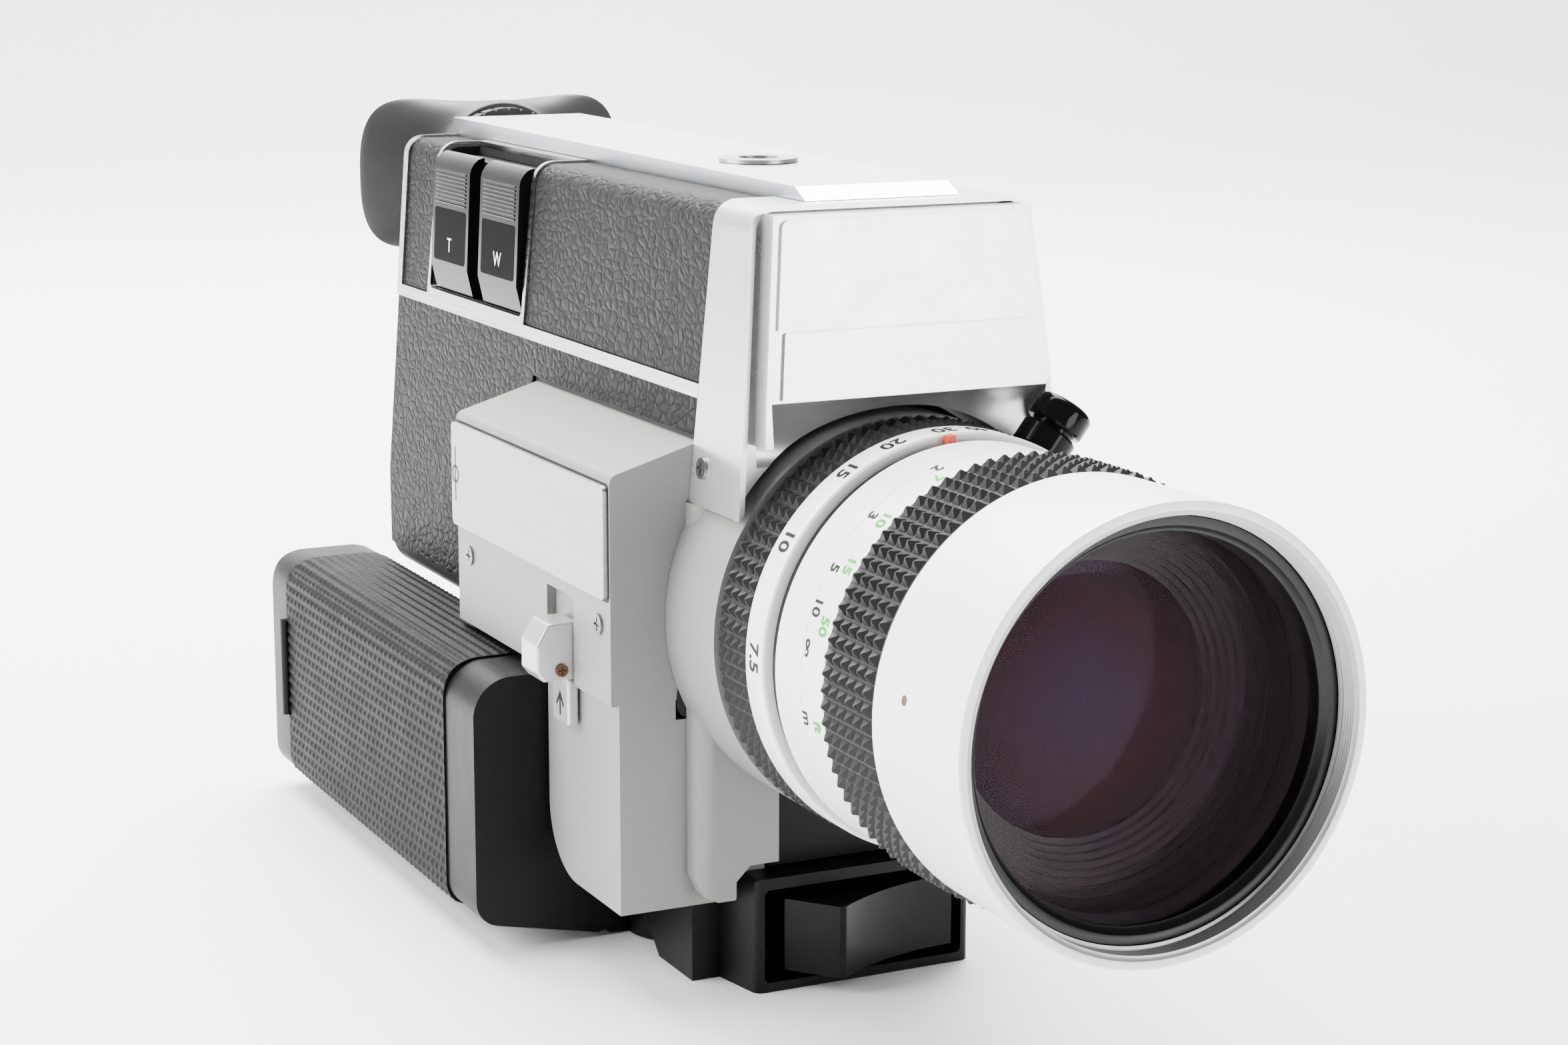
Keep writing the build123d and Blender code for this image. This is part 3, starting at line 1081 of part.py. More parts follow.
with BuildPart() as battery_lid:
    with BuildSketch(at_y(GRIP_REAR)):
        add(grip_section(CAP_INSET - 0.2))
    extrude(amount=GRIP_REAR - GRIP_SKIN_REAR - 0.3)
    fillet(battery_lid.edges().group_by(Axis.Y)[-1], 2.0)
    with BuildSketch(at_y(GRIP_REAR - 1.8)):
        add(grip_section(SKIN_T + SHELL_T))
    extrude(amount=15.0, mode=Mode.SUBTRACT)
    add(lid_knuckle(LID_KNUCKLE_R, 0.0))
save(battery_lid.part, "battery_lid")

with BuildPart() as battery_cells:
    for z in CELL_ROWS:
        for start in (CELL_START, CELL_START + CELL_LENGTH + 0.3):
            add(lens_ring(start + 1.0, start + CELL_LENGTH, CELL_R, 0, (CELL_X, z)))
            add(lens_ring(start, start + 1.0, 2.75, 0, (CELL_X, z)))
save(battery_cells.part, "battery_cells")
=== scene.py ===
import json
import math

import bmesh
import bpy
import numpy as np
from mathutils import Matrix, Vector


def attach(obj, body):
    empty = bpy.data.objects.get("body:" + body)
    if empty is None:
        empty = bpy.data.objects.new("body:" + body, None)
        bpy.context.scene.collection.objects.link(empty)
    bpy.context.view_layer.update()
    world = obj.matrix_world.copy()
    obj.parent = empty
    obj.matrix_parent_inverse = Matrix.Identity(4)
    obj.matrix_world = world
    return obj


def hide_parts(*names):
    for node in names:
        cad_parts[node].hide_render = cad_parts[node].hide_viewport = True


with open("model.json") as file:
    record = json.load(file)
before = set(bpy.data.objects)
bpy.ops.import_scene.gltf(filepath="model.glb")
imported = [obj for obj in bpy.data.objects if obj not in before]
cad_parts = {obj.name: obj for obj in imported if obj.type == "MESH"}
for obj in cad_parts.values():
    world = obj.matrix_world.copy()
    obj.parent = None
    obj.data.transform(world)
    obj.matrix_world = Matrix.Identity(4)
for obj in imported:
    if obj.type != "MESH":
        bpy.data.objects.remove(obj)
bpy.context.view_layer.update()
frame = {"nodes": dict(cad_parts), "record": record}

# Shapes are given in millimetres and turned into metres where a mesh is made. X is across, Y runs from
# the lens (negative) to the eyepiece, Z is up, and the lens turns about an axis along Y at height LENS_Z.
MM = 0.001
LENS_Z = 59.4
EYEPIECE_Z = 111.0


# ------------------------------------------------------------------ materials
class Look:
    """A small helper for wiring one procedural material, in object coordinates (metres)."""

    def __init__(self, name):
        self.mat = bpy.data.materials.new(name)
        self.mat.use_nodes = True
        self.tree = self.mat.node_tree
        self.bsdf = self.tree.nodes["Principled BSDF"]
        self.coord = self.tree.nodes.new("ShaderNodeTexCoord").outputs["Object"]

    def node(self, kind, **values):
        n = self.tree.nodes.new(kind)
        for key, value in values.items():
            if hasattr(n, key):
                setattr(n, key, value)
            else:
                n.inputs[key.replace("_", " ")].default_value = value
        return n

    def link(self, a, b):
        self.tree.links.new(a, b)

    def stretched(self, scale):
        m = self.node("ShaderNodeMapping")
        m.inputs["Scale"].default_value = scale
        self.link(self.coord, m.inputs["Vector"])
        return m.outputs["Vector"]

    def noise(self, scale, detail=3.0, rough=0.5, distort=0.0, vector=None):
        n = self.node("ShaderNodeTexNoise")
        n.inputs["Scale"].default_value = scale
        n.inputs["Detail"].default_value = detail
        n.inputs["Roughness"].default_value = rough
        n.inputs["Distortion"].default_value = distort
        self.link(vector or self.coord, n.inputs["Vector"])
        return n.outputs["Fac"]

    def ramp(self, fac, stops):
        r = self.node("ShaderNodeValToRGB")
        ramp = r.color_ramp
        while len(ramp.elements) < len(stops):
            ramp.elements.new(0.5)
        for e, (pos, color) in zip(ramp.elements, stops):
            e.position = pos
            e.color = (*color, 1.0) if len(color) == 3 else color
        self.link(fac, r.inputs["Fac"])
        return r.outputs["Color"]

    def mix(self, fac, a, b):
        m = self.node("ShaderNodeMix", data_type="RGBA")
        if isinstance(fac, float):
            m.inputs[0].default_value = fac
        else:
            self.link(fac, m.inputs[0])
        for socket, value in ((m.inputs[6], a), (m.inputs[7], b)):
            if isinstance(value, tuple):
                socket.default_value = (*value, 1.0)
            else:
                self.link(value, socket)
        return m.outputs[2]

    def scaled(self, fac, low, high):
        m = self.node("ShaderNodeMapRange")
        m.inputs["To Min"].default_value = low
        m.inputs["To Max"].default_value = high
        self.link(fac, m.inputs["Value"])
        return m.outputs["Result"]

    def math(self, op, a, b=None):
        m = self.node("ShaderNodeMath", operation=op)
        for i, value in enumerate((a, b)):
            if value is None:
                continue
            if isinstance(value, (int, float)):
                m.inputs[i].default_value = value
            else:
                self.link(value, m.inputs[i])
        return m.outputs[0]

    def set(self, **values):
        for key, value in values.items():
            socket = self.bsdf.inputs[key.replace("_", " ")]
            if isinstance(value, tuple):
                socket.default_value = (*value, 1.0)
            elif isinstance(value, (int, float)):
                socket.default_value = value
            else:
                self.link(value, socket)

    def bump(self, height, strength, distance):
        b = self.node("ShaderNodeBump")
        b.inputs["Strength"].default_value = strength
        b.inputs["Distance"].default_value = distance
        self.link(height, b.inputs["Height"])
        chained = self.bsdf.inputs["Normal"]
        if chained.is_linked:
            self.link(chained.links[0].from_socket, b.inputs["Normal"])
        self.link(b.outputs["Normal"], chained)


def shades(color, spread):
    """Three tints round a color, darker to lighter."""
    return [(0.25, tuple(c * (1 - spread) for c in color)), (0.5, color),
            (0.78, tuple(min(1.0, c * (1 + spread)) for c in color))]


def plain_look(name, color, rough, metallic=0.0, grain=2500.0, grain_depth=0.00002, spread=0.06,
               smudge=0.08, scratch=0.0, scratch_color=None, coat=0.0, shine=0.5):
    """Enamel, plastic or satin metal: tinted patches, fine grain, smudged gloss and a few scratches."""
    k = Look(name)
    base = k.ramp(k.noise(70.0, 4.0, 0.6), shades(color, spread))
    fine = k.noise(grain, 2.0, 0.6)
    base = k.mix(k.scaled(fine, 0.0, 0.35), base, tuple(c * 0.82 for c in color))
    gloss = k.noise(160.0, 5.0, 0.65, 0.4)
    rough_out = k.scaled(gloss, max(0.02, rough - smudge), rough + smudge)
    if scratch:
        lines = k.noise(90.0, 8.0, 0.85, 3.0, k.stretched((1.0, 2.2, 9.0)))
        mask = k.ramp(lines, [(0.0, (0, 0, 0)), (0.70 - 0.06 * scratch, (0, 0, 0)), (0.74, (1, 1, 1))])
        bare = scratch_color or tuple(min(1, c * 1.5 + 0.05) for c in color)
        base = k.mix(k.math("MULTIPLY", mask, 0.55), base, bare)
    k.set(Base_Color=base, Roughness=rough_out, Metallic=metallic, Coat_Weight=coat, Specular_IOR_Level=shine)
    k.bsdf.inputs["Coat Roughness"].default_value = 0.12
    k.bump(fine, 0.5, grain_depth)
    k.bump(k.noise(420.0, 3.0, 0.5), 0.25, 0.00003)
    return k


def leather_look():
    """Wrinkled covering: warped cells whose valleys are darkened with painted shade, small pores and soft
    folds.
    """
    k = Look("leatherette")
    warp = k.node("ShaderNodeMix", data_type="VECTOR")
    warp.inputs[0].default_value = 0.003
    noise = k.node("ShaderNodeTexNoise")
    noise.inputs["Scale"].default_value = 230.0
    noise.inputs["Detail"].default_value = 4.0
    k.link(k.coord, noise.inputs["Vector"])
    k.link(k.coord, warp.inputs[4])
    k.link(noise.outputs["Color"], warp.inputs[5])
    cells = k.node("ShaderNodeTexVoronoi", feature="DISTANCE_TO_EDGE")
    cells.inputs["Scale"].default_value = 560.0
    flat = k.node("ShaderNodeMapping")
    flat.inputs["Scale"].default_value = (1.0, 0.72, 1.15)
    k.link(warp.outputs[1], flat.inputs["Vector"])
    k.link(flat.outputs["Vector"], cells.inputs["Vector"])
    small = k.node("ShaderNodeTexVoronoi", feature="DISTANCE_TO_EDGE")
    small.inputs["Scale"].default_value = 1250.0
    k.link(warp.outputs[1], small.inputs["Vector"])
    folds = k.noise(210.0, 5.0, 0.6, 1.2)
    valley_depth_and_shade = k.ramp(cells.outputs["Distance"],
                    [(0.0, (0, 0, 0)), (0.10, (0.45, 0.45, 0.45)), (0.26, (1, 1, 1))])
    pores = k.ramp(small.outputs["Distance"], [(0.0, (0, 0, 0)), (0.22, (1, 1, 1)), (1.0, (1, 1, 1))])
    # painted shade: the cells' valleys are coloured near black, on top of their bump
    tint = k.mix(valley_depth_and_shade, (0.0008, 0.0008, 0.0008), (0.0085, 0.0084, 0.0083))
    tint = k.mix(k.scaled(k.noise(30.0, 3.0), 0.0, 0.3), tint, (0.017, 0.0168, 0.0165))
    k.set(Base_Color=tint, Roughness=k.scaled(folds, 0.38, 0.62), Specular_IOR_Level=0.10)
    k.bump(folds, 0.5, 0.00012)
    k.bump(pores, 0.25, 0.00005)
    k.bump(valley_depth_and_shade, 0.8, 0.0002)
    return k


def brushed_look(name, color, rough, along):
    """Metal with fine parallel brush lines; along is the stretch of the pattern."""
    k = Look(name)
    lines = k.noise(1.0, 6.0, 0.7, 0.0, k.stretched(along))
    broad = k.noise(60.0, 4.0, 0.6)
    tone = k.ramp(lines, [(0.3, tuple(c * 0.66 for c in color)),
                          (0.7, tuple(min(1, c * 1.08) for c in color))])
    tone = k.mix(k.scaled(broad, 0.0, 0.25), tone, tuple(c * 0.9 for c in color))
    k.set(Base_Color=tone, Metallic=1.0, Roughness=k.scaled(lines, rough - 0.08, rough + 0.10))
    k.bump(lines, 0.35, 0.00004)
    return k


def glass_look():
    """The front element: a see-through polished surface with a faint coated tint."""
    k = Look("front_glass")
    tint = k.ramp(k.noise(24.0, 2.0), [(0.3, (0.006, 0.003, 0.004)), (0.7, (0.008, 0.004, 0.007))])
    k.set(Base_Color=tint, Roughness=k.scaled(k.noise(300.0, 4.0), 0.01, 0.03), Alpha=0.10)
    k.bsdf.inputs["Specular Tint"].default_value = (1.0, 0.62, 0.78, 1.0)
    k.bump(k.noise(18.0, 1.0), 0.04, 0.0001)
    return k


def inner_glass_look():
    """The second element, with the glow of its coating painted in as a reflection: violet in the middle, wine
    at the edge.
    """
    k = Look("coating_painted_reflection")
    centred = k.node("ShaderNodeMapping")
    centred.inputs["Location"].default_value = (0.0, 0.0, -LENS_Z * MM)
    k.link(k.coord, centred.inputs["Vector"])
    flat = k.node("ShaderNodeVectorMath", operation="MULTIPLY")
    flat.inputs[1].default_value = (55.0, 0.0, 55.0)
    k.link(centred.outputs["Vector"], flat.inputs[0])
    length = k.node("ShaderNodeVectorMath", operation="LENGTH")
    k.link(flat.outputs["Vector"], length.inputs[0])
    wander = k.math("MULTIPLY", k.math("SUBTRACT", k.noise(40.0, 2.0), 0.5), 0.4)
    reflection_radius = k.math("ADD", length.outputs["Value"], wander)
    # painted reflection: the coating's glow, violet at the centre going to wine and brown at the edge
    tint = k.ramp(reflection_radius, [(0.0, (0.014, 0.009, 0.020)), (0.45, (0.014, 0.007, 0.012)),
                         (0.75, (0.013, 0.005, 0.004)), (1.0, (0.008, 0.005, 0.004))])
    k.set(Base_Color=tint, Roughness=k.scaled(k.noise(300.0, 4.0), 0.03, 0.08), Specular_IOR_Level=0.09)
    k.bsdf.inputs["Specular Tint"].default_value = (0.8, 0.6, 1.0, 1.0)
    k.bump(k.noise(30.0, 1.0), 0.04, 0.0001)
    return k


def clear_glass_look():
    """The glasses inside the camera and the eyepiece."""
    k = Look("clear_glass")
    k.set(Base_Color=(0.80, 0.74, 0.86), Transmission_Weight=0.92, IOR=1.5,
          Roughness=k.scaled(k.noise(260.0, 3.0), 0.01, 0.05))
    return k


LOOKS = {
    "housing_gray": plain_look("housing_gray", (0.205, 0.203, 0.193), 0.46, grain=2600.0,
                               grain_depth=0.00006, spread=0.025, scratch=0.3),
    "body_dark": plain_look("body_dark", (0.012, 0.012, 0.0125), 0.5, grain=2200.0, grain_depth=0.00004,
                            spread=0.1, shine=0.2),
    "leatherette": leather_look(),
    "bright_trim": brushed_look("bright_trim", (0.82, 0.82, 0.82), 0.16, (300.0, 60.0, 2400.0)),
    "satin_silver": plain_look("satin_silver", (0.93, 0.935, 0.94), 0.30, 0.75, grain=3800.0,
                               grain_depth=0.00001, spread=0.03, scratch=0.25,
                               scratch_color=(0.5, 0.5, 0.5)),
    "dull_silver": plain_look("dull_silver", (0.46, 0.46, 0.46), 0.34, 1.0, grain=3800.0,
                              grain_depth=0.00002, spread=0.05, scratch=0.3, scratch_color=(0.3, 0.3, 0.3)),
    "frame_silver": plain_look("frame_silver", (0.72, 0.725, 0.735), 0.28, 0.85, grain=3800.0,
                               grain_depth=0.000006, spread=0.015, smudge=0.025, scratch=0.08,
                               scratch_color=(0.55, 0.55, 0.55)),
    "brushed_silver": brushed_look("brushed_silver", (0.95, 0.95, 0.945), 0.30, (40.0, 900.0, 5200.0)),
    "plate_silver": plain_look("plate_silver", (0.74, 0.76, 0.79), 0.33, 1.0, grain=3000.0,
                               grain_depth=0.00002, spread=0.03, scratch=0.3,
                               scratch_color=(0.45, 0.45, 0.46)),
    "label_silver": brushed_look("label_silver", (0.42, 0.42, 0.412), 0.38, (900.0, 40.0, 5200.0)),
    "lens_silver": plain_look("lens_silver", (0.93, 0.926, 0.912), 0.36, 0.06, grain=4200.0,
                              grain_depth=0.00001, spread=0.015, smudge=0.05, scratch=0.15,
                              scratch_color=(0.62, 0.61, 0.60), coat=0.15),
    # the filter thread's inner wall: a grey much darker than the barrel's white, as painted shade inside the
    # mouth
    "thread_painted_shade": plain_look("thread_painted_shade", (0.42, 0.42, 0.415), 0.34, 0.5, grain=4200.0,
                                grain_depth=0.00001, spread=0.05),
    "dark_steel": plain_look("dark_steel", (0.20, 0.20, 0.20), 0.34, 1.0, spread=0.12, scratch=0.4),
    "black_metal": plain_look("black_metal", (0.006, 0.0062, 0.007), 0.36, grain=3000.0, spread=0.15,
                              shine=0.3),
    "black_plastic": plain_look("black_plastic", (0.0035, 0.0035, 0.0038), 0.42, grain=1900.0,
                                grain_depth=0.00005, shine=0.12, spread=0.12, scratch=0.12,
                                scratch_color=(0.09, 0.09, 0.09)),
    "gloss_black": plain_look("gloss_black", (0.004, 0.004, 0.0045), 0.10, grain=1500.0,
                              grain_depth=0.000004, spread=0.1, smudge=0.05, scratch=0.1,
                              scratch_color=(0.02, 0.02, 0.02), shine=0.11),
    "window_black": plain_look("window_black", (0.0022, 0.0022, 0.0025), 0.08, grain=1500.0,
                               grain_depth=0.000001, spread=0.1, smudge=0.03, scratch=0.1,
                               scratch_color=(0.01, 0.01, 0.01), shine=0.008),
    "rubber_black": plain_look("rubber_black", (0.010, 0.010, 0.0103), 0.48, grain=2200.0,
                               grain_depth=0.00005, spread=0.15, smudge=0.12, shine=0.25),
    "eyecup_rubber": plain_look("eyecup_rubber", (0.040, 0.040, 0.0405), 0.46, grain=2200.0,
                                grain_depth=0.00005, spread=0.12, smudge=0.1, shine=0.35),
    "grip_rubber": plain_look("grip_rubber", (0.0032, 0.0032, 0.0033), 0.50, grain=2200.0,
                              grain_depth=0.00005, spread=0.15, smudge=0.12, shine=0.08),
    "knob_silver": plain_look("knob_silver", (0.50, 0.50, 0.505), 0.30, 0.6, grain=1500.0,
                              grain_depth=0.00006, spread=0.07, scratch=0.8,
                              scratch_color=(0.16, 0.15, 0.14)),
    "screw_brown": plain_look("screw_brown", (0.10, 0.05, 0.025), 0.5, 0.5, spread=0.35, scratch=0.5),
    "steel": plain_look("steel", (0.55, 0.55, 0.54), 0.35, 1.0),
    "brass": plain_look("brass", (0.72, 0.52, 0.25), 0.34, 1.0, spread=0.1, scratch=0.3),
    "lens_glass": clear_glass_look(),
    "front_glass": glass_look(),
    "inner_glass": inner_glass_look(),
    "nylon_white": plain_look("nylon_white", (0.76, 0.74, 0.68), 0.45),
    "cell_skin": plain_look("cell_skin", (0.05, 0.07, 0.16), 0.3, 0.3),
    "ink_black": plain_look("ink_black", (0.008, 0.0075, 0.007), 0.55, spread=0.3, shine=0.2),
    "ink_green": plain_look("ink_green", (0.03, 0.36, 0.035), 0.5, spread=0.15, shine=0.2),
    "ink_orange": plain_look("ink_orange", (0.50, 0.055, 0.012), 0.5, spread=0.15),
    "ink_white": plain_look("ink_white", (0.78, 0.77, 0.74), 0.5, spread=0.1),
}


# ------------------------------------------------------------------ mesh helpers
def make(name, verts, faces, look, body, replaces=(), slot=None, smooth=40.0, bevel=0.0, segments=2):
    """A mesh piece from points in millimetres, finished, painted and fixed to a body."""
    mesh = bpy.data.meshes.new(name)
    mesh.from_pydata([(x * MM, y * MM, z * MM) for x, y, z in verts], [], faces)
    bm = bmesh.new()
    bm.from_mesh(mesh)
    bmesh.ops.remove_doubles(bm, verts=bm.verts, dist=0.000002)
    bmesh.ops.recalc_face_normals(bm, faces=bm.faces)
    bm.to_mesh(mesh)
    bm.free()
    for p in mesh.polygons:
        p.use_smooth = True
    mesh.set_sharp_from_angle(angle=math.radians(smooth))
    obj = bpy.data.objects.new(name, mesh)
    bpy.context.scene.collection.objects.link(obj)
    mesh.materials.append(LOOKS[look].mat)
    if bevel:
        soften(obj, bevel, segments)
    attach(obj, body)
    if replaces:
        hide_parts(*replaces)
    return obj


def soften(obj, width, segments=2, angle=30.0):
    """Rounds a piece's edges with a bevel of so many millimetres."""
    m = obj.modifiers.new("bevel", "BEVEL")
    m.width = width * MM
    m.segments = segments
    m.limit_method = "ANGLE"
    m.angle_limit = math.radians(angle)
    m.harden_normals = True
    m.use_clamp_overlap = True
    for p in obj.data.polygons:
        p.use_smooth = True
    return obj


def grid_faces(rows, count, closed_rows=False):
    """Four-sided faces over rows of count points, each a ring; closed_rows joins the last row to the first."""
    faces = []
    for i in range(rows if closed_rows else rows - 1):
        j = (i + 1) % rows
        faces += [(i * count + k, i * count + (k + 1) % count, j * count + (k + 1) % count, j * count + k)
                  for k in range(count)]
    return faces


def lathe_points(profile, seg, centre=(0.0, LENS_Z)):
    """Points and faces of a closed (y, r) profile turned about an axis along Y."""
    verts = []
    for i in range(seg):
        a = 2 * math.pi * i / seg
        s, c = math.sin(a), math.cos(a)
        verts += [(centre[0] + r * s, y, centre[1] + r * c) for y, r in profile]
    return verts, grid_faces(seg, len(profile), closed_rows=True)


def rounded(points, radius, steps=4):
    """A closed 2-D outline with every corner rounded."""
    out = []
    n = len(points)
    for i in range(n):
        p, q, s = Vector(points[i - 1]), Vector(points[i]), Vector(points[(i + 1) % n])
        r = radius[i] if isinstance(radius, (list, tuple)) else radius
        a, b = p - q, s - q
        if r <= 0:
            out.append(tuple(q))
            continue
        half = a.angle(b) / 2
        cut = min(r / math.tan(half), a.length * 0.49, b.length * 0.49)
        start, end = q + a.normalized() * cut, q + b.normalized() * cut
        for t in range(steps + 1):
            u = t / steps
            out.append(tuple(start * (1 - u) ** 2 + q * 2 * u * (1 - u) + end * u * u))
    return out


def slab(outline, depth, place):
    """Points and faces of an outline pushed out by depth; place maps (u, v, w) to a point."""
    n = len(outline)
    verts = [place(u, v, 0.0) for u, v in outline] + [place(u, v, depth) for u, v in outline]
    faces = [tuple(range(n)), tuple(range(n, 2 * n))]
    faces += [(i, (i + 1) % n, n + (i + 1) % n, n + i) for i in range(n)]
    return verts, faces


def join(*parts):
    """Several (points, faces) pairs as one."""
    verts, faces = [], []
    for v, f in parts:
        base = len(verts)
        verts += v
        faces += [tuple(i + base for i in face) for face in f]
    return verts, faces


# ------------------------------------------------------------------ finish of the CAD nodes that are shown
SLOT_OF = {s["node"]: s["material_slot"] for s in frame["record"]["subparts"]}
for node, obj in frame["nodes"].items():
    obj.data.materials.clear()
    obj.data.materials.append(LOOKS[SLOT_OF[node]].mat)
    for p in obj.data.polygons:
        p.use_smooth = True
    obj.data.set_sharp_from_angle(angle=math.radians(28))
OWN_LOOK = {"housing_plate": "label_silver", "second_lens": "inner_glass", "cover_screws": "dark_steel",
            "front_frame": "frame_silver", "light_socket": "dull_silver", "dioptre_ring": "eyecup_rubber"}
for node, look in OWN_LOOK.items():
    frame["nodes"][node].data.materials[0] = LOOKS[look].mat
EDGE_MM = {"front_frame": 0.4, "drive_housing": 0.8, "lens_cowl": 1.1, "housing_plate": 0.15,
           "top_plate": 0.35, "trigger_guard": 0.3, "trigger": 0.4, "front_pillar": 0.5, "foot": 0.3,
           "side_trim": 0.12, "door_latch": 0.2, "light_socket": 0.15, "key_tray": 0.1,
           "cover_screws": 0.06, "slide_switch_screw": 0.05}
for node, width in EDGE_MM.items():
    soften(frame["nodes"][node], width, 2)


# ------------------------------------------------------------------ lens
def thread(y0, y1, r_low, r_high, pitch):
    """(y, r) points of a threaded wall."""
    out = []
    y = y0
    while y + pitch <= y1 + 1e-6:
        out += [(y, r_low), (y + pitch * 0.45, r_high), (y + pitch * 0.55, r_high)]
        y += pitch
    out.append((y1, r_low))
    return out


# Turned pieces are closed (y, r) profiles.
RIM_Y = -101.4
THREAD_FRONT, THREAD_REAR = -101.0, -98.25
THREAD_PITCH = 0.55
BORE_R = 27.7
SEAT_R = 30.02
RIDGE_R = 30.35
KNURLS_ROUND = 84

barrel = ([(RIM_Y, 29.95), (RIM_Y + 0.1, 29.72), (RIM_Y + 0.3, 29.5)]
          + thread(THREAD_FRONT, THREAD_REAR, 29.04, 29.42, THREAD_PITCH)
          + [(-98.2, 28.6), (-93.4, 28.6), (-93.4, 28.0), (-88.4, 28.0), (-88.4, BORE_R), (-47.5, BORE_R),
             (-47.5, 29.9), (-47.7, 30.1), (-48.1, 30.2), (-55.6, 30.2), (-55.66, 30.12), (-55.78, 30.12),
             (-55.84, 30.2), (-62.6, 30.2), (-62.62, 30.0), (-77.62, 30.0), (-77.62, 30.55), (-77.8, 30.68),
             (-98.4, 30.98), (-100.7, 31.0), (RIM_Y + 0.2, 30.93), (RIM_Y, 30.7)])
barrel_obj = make("lens_barrel", *lathe_points(barrel, 256), "lens_silver", "focus", ["focus_barrel"],
                  "lens_silver", 32)
barrel_obj.data.materials.append(LOOKS["thread_painted_shade"].mat)
barrel_obj.data.materials.append(LOOKS["black_metal"].mat)
THREAD_SHADE, BLACKENED = 1, 2          # places in the barrel's list of materials
# the threaded inner wall gets the darker grey of painted shade; the bore behind it is blackened
for p in barrel_obj.data.polygons:
    away = math.hypot(p.center.x, p.center.z - LENS_Z * MM) / MM
    if away < 29.65 and p.center.y < -98.2 * MM:
        p.material_index = THREAD_SHADE
    elif away < 29.0:
        p.material_index = BLACKENED

ring = [(-98.14, 28.45), (-98.14, 27.25), (-98.0, 27.1), (-97.2, 26.75), (-97.0, 26.3), (-92.45, 26.0),
        (-92.45, 27.4), (-93.5, 27.8), (-93.5, 28.45)]
make("glass_retainer", *lathe_points(ring, 256), "black_metal", "focus", ["retaining_ring"],
     "black_metal", 50)

GLASS_R, GLASS_EDGE_Y, GLASS_CROWN, GLASS_STEPS = 26.2, -96.6, 0.9, 16
ON_AXIS = 0.001
glass = [(-88.6, ON_AXIS)]
for r in [ON_AXIS] + [i * GLASS_R / GLASS_STEPS for i in range(1, GLASS_STEPS + 1)]:
    glass.append((GLASS_EDGE_Y - GLASS_CROWN * (1 - (r / GLASS_R) ** 2), r))
glass += [(-92.3, 26.1), (-92.3, 27.6), (-88.6, 27.6)]
make("front_element", *lathe_points(glass, 192), "front_glass", "focus", ["front_lens"], "lens_glass", 60)


def knurl(name, y0, y1, seat, low, high, rows, count, body, node):
    """A rubber ring whose outside is rows of small four-sided points."""
    verts, faces = [], []
    edge = 0.35                     # plain border at each end of the rubber
    pitch = (y1 - y0 - 2 * edge) / rows

    def at(y, r, a):
        return (r * math.sin(a), y, LENS_Z + r * math.cos(a))

    for i in range(count):
        a0, a1 = 2 * math.pi * i / count, 2 * math.pi * (i + 1) / count
        for j in range(rows):
            b0 = y0 + edge + pitch * j
            b1 = b0 + pitch
            base = len(verts)
            for inset, r in ((0.0, low), (0.07, low + 0.05), (0.44, high)):      # foot, shoulder, top
                da, db = (a1 - a0) * inset, (b1 - b0) * inset
                verts += [at(b0 + db, r, a0 + da), at(b1 - db, r, a0 + da), at(b1 - db, r, a1 - da),
                          at(b0 + db, r, a1 - da)]
            faces += [tuple(base + v for v in face) for face in grid_faces(3, 4)]
            faces.append((base + 8, base + 9, base + 10, base + 11))
        for ya, yb in ((y0, y0 + edge), (y1, y1 - edge)):
            base = len(verts)
            verts += [at(ya, seat, a0), at(ya, seat, a1), at(ya, low - 0.05, a0), at(ya, low - 0.05, a1),
                      at(yb, low, a0), at(yb, low, a1)]
            faces += [(base, base + 1, base + 3, base + 2), (base + 2, base + 3, base + 5, base + 4)]
        base = len(verts)
        verts += [at(y0, seat, a0), at(y0, seat, a1), at(y1, seat, a1), at(y1, seat, a0)]
        faces.append((base, base + 1, base + 2, base + 3))
    return make(name, verts, faces, "rubber_black", body, [node], "rubber_black", 25)


knurl("focus_grip", -77.5, -62.8, SEAT_R, RIDGE_R, 31.38, 6, KNURLS_ROUND, "focus", "focus_rubber")
knurl("zoom_grip", -39.7, -29.95, SEAT_R, RIDGE_R, 31.33, 4, KNURLS_ROUND, "zoom", "zoom_rubber")

zoom_profile = [(-45.4, BORE_R), (-45.4, 30.7), (-45.2, 31.0), (-44.9, 31.08), (-40.2, 31.08),
                (-39.95, 30.95), (-39.8, 30.6), (-39.8, 30.0), (-29.9, 30.0), (-29.9, BORE_R)]
make("zoom_scale_ring", *lathe_points(zoom_profile, 256), "lens_silver", "zoom", ["zoom_ring"],
     "lens_silver", 32)


def polar(y, r, degrees):
    """A point round the lens's axis, measured from straight up."""
    a = math.radians(degrees)
    return Vector((r * math.sin(a), y, LENS_Z + r * math.cos(a)))


def flat_text(name, text, size, resolution=12, offset=0.0):
    """A mesh of figures lying in the XY plane, centred on the origin, in millimetres."""
    curve = bpy.data.curves.new(name + "_curve", "FONT")
    curve.body = text
    curve.size = size
    curve.align_x = "CENTER"
    curve.align_y = "CENTER"
    curve.resolution_u = resolution
    curve.offset = offset
    tmp = bpy.data.objects.new(name + "_tmp", curve)
    bpy.context.scene.collection.objects.link(tmp)
    bpy.context.view_layer.update()
    flat = bpy.data.meshes.new_from_object(tmp.evaluated_get(bpy.context.evaluated_depsgraph_get()))
    bpy.data.objects.remove(tmp)
    return flat


PRINT_LIFT = 0.03


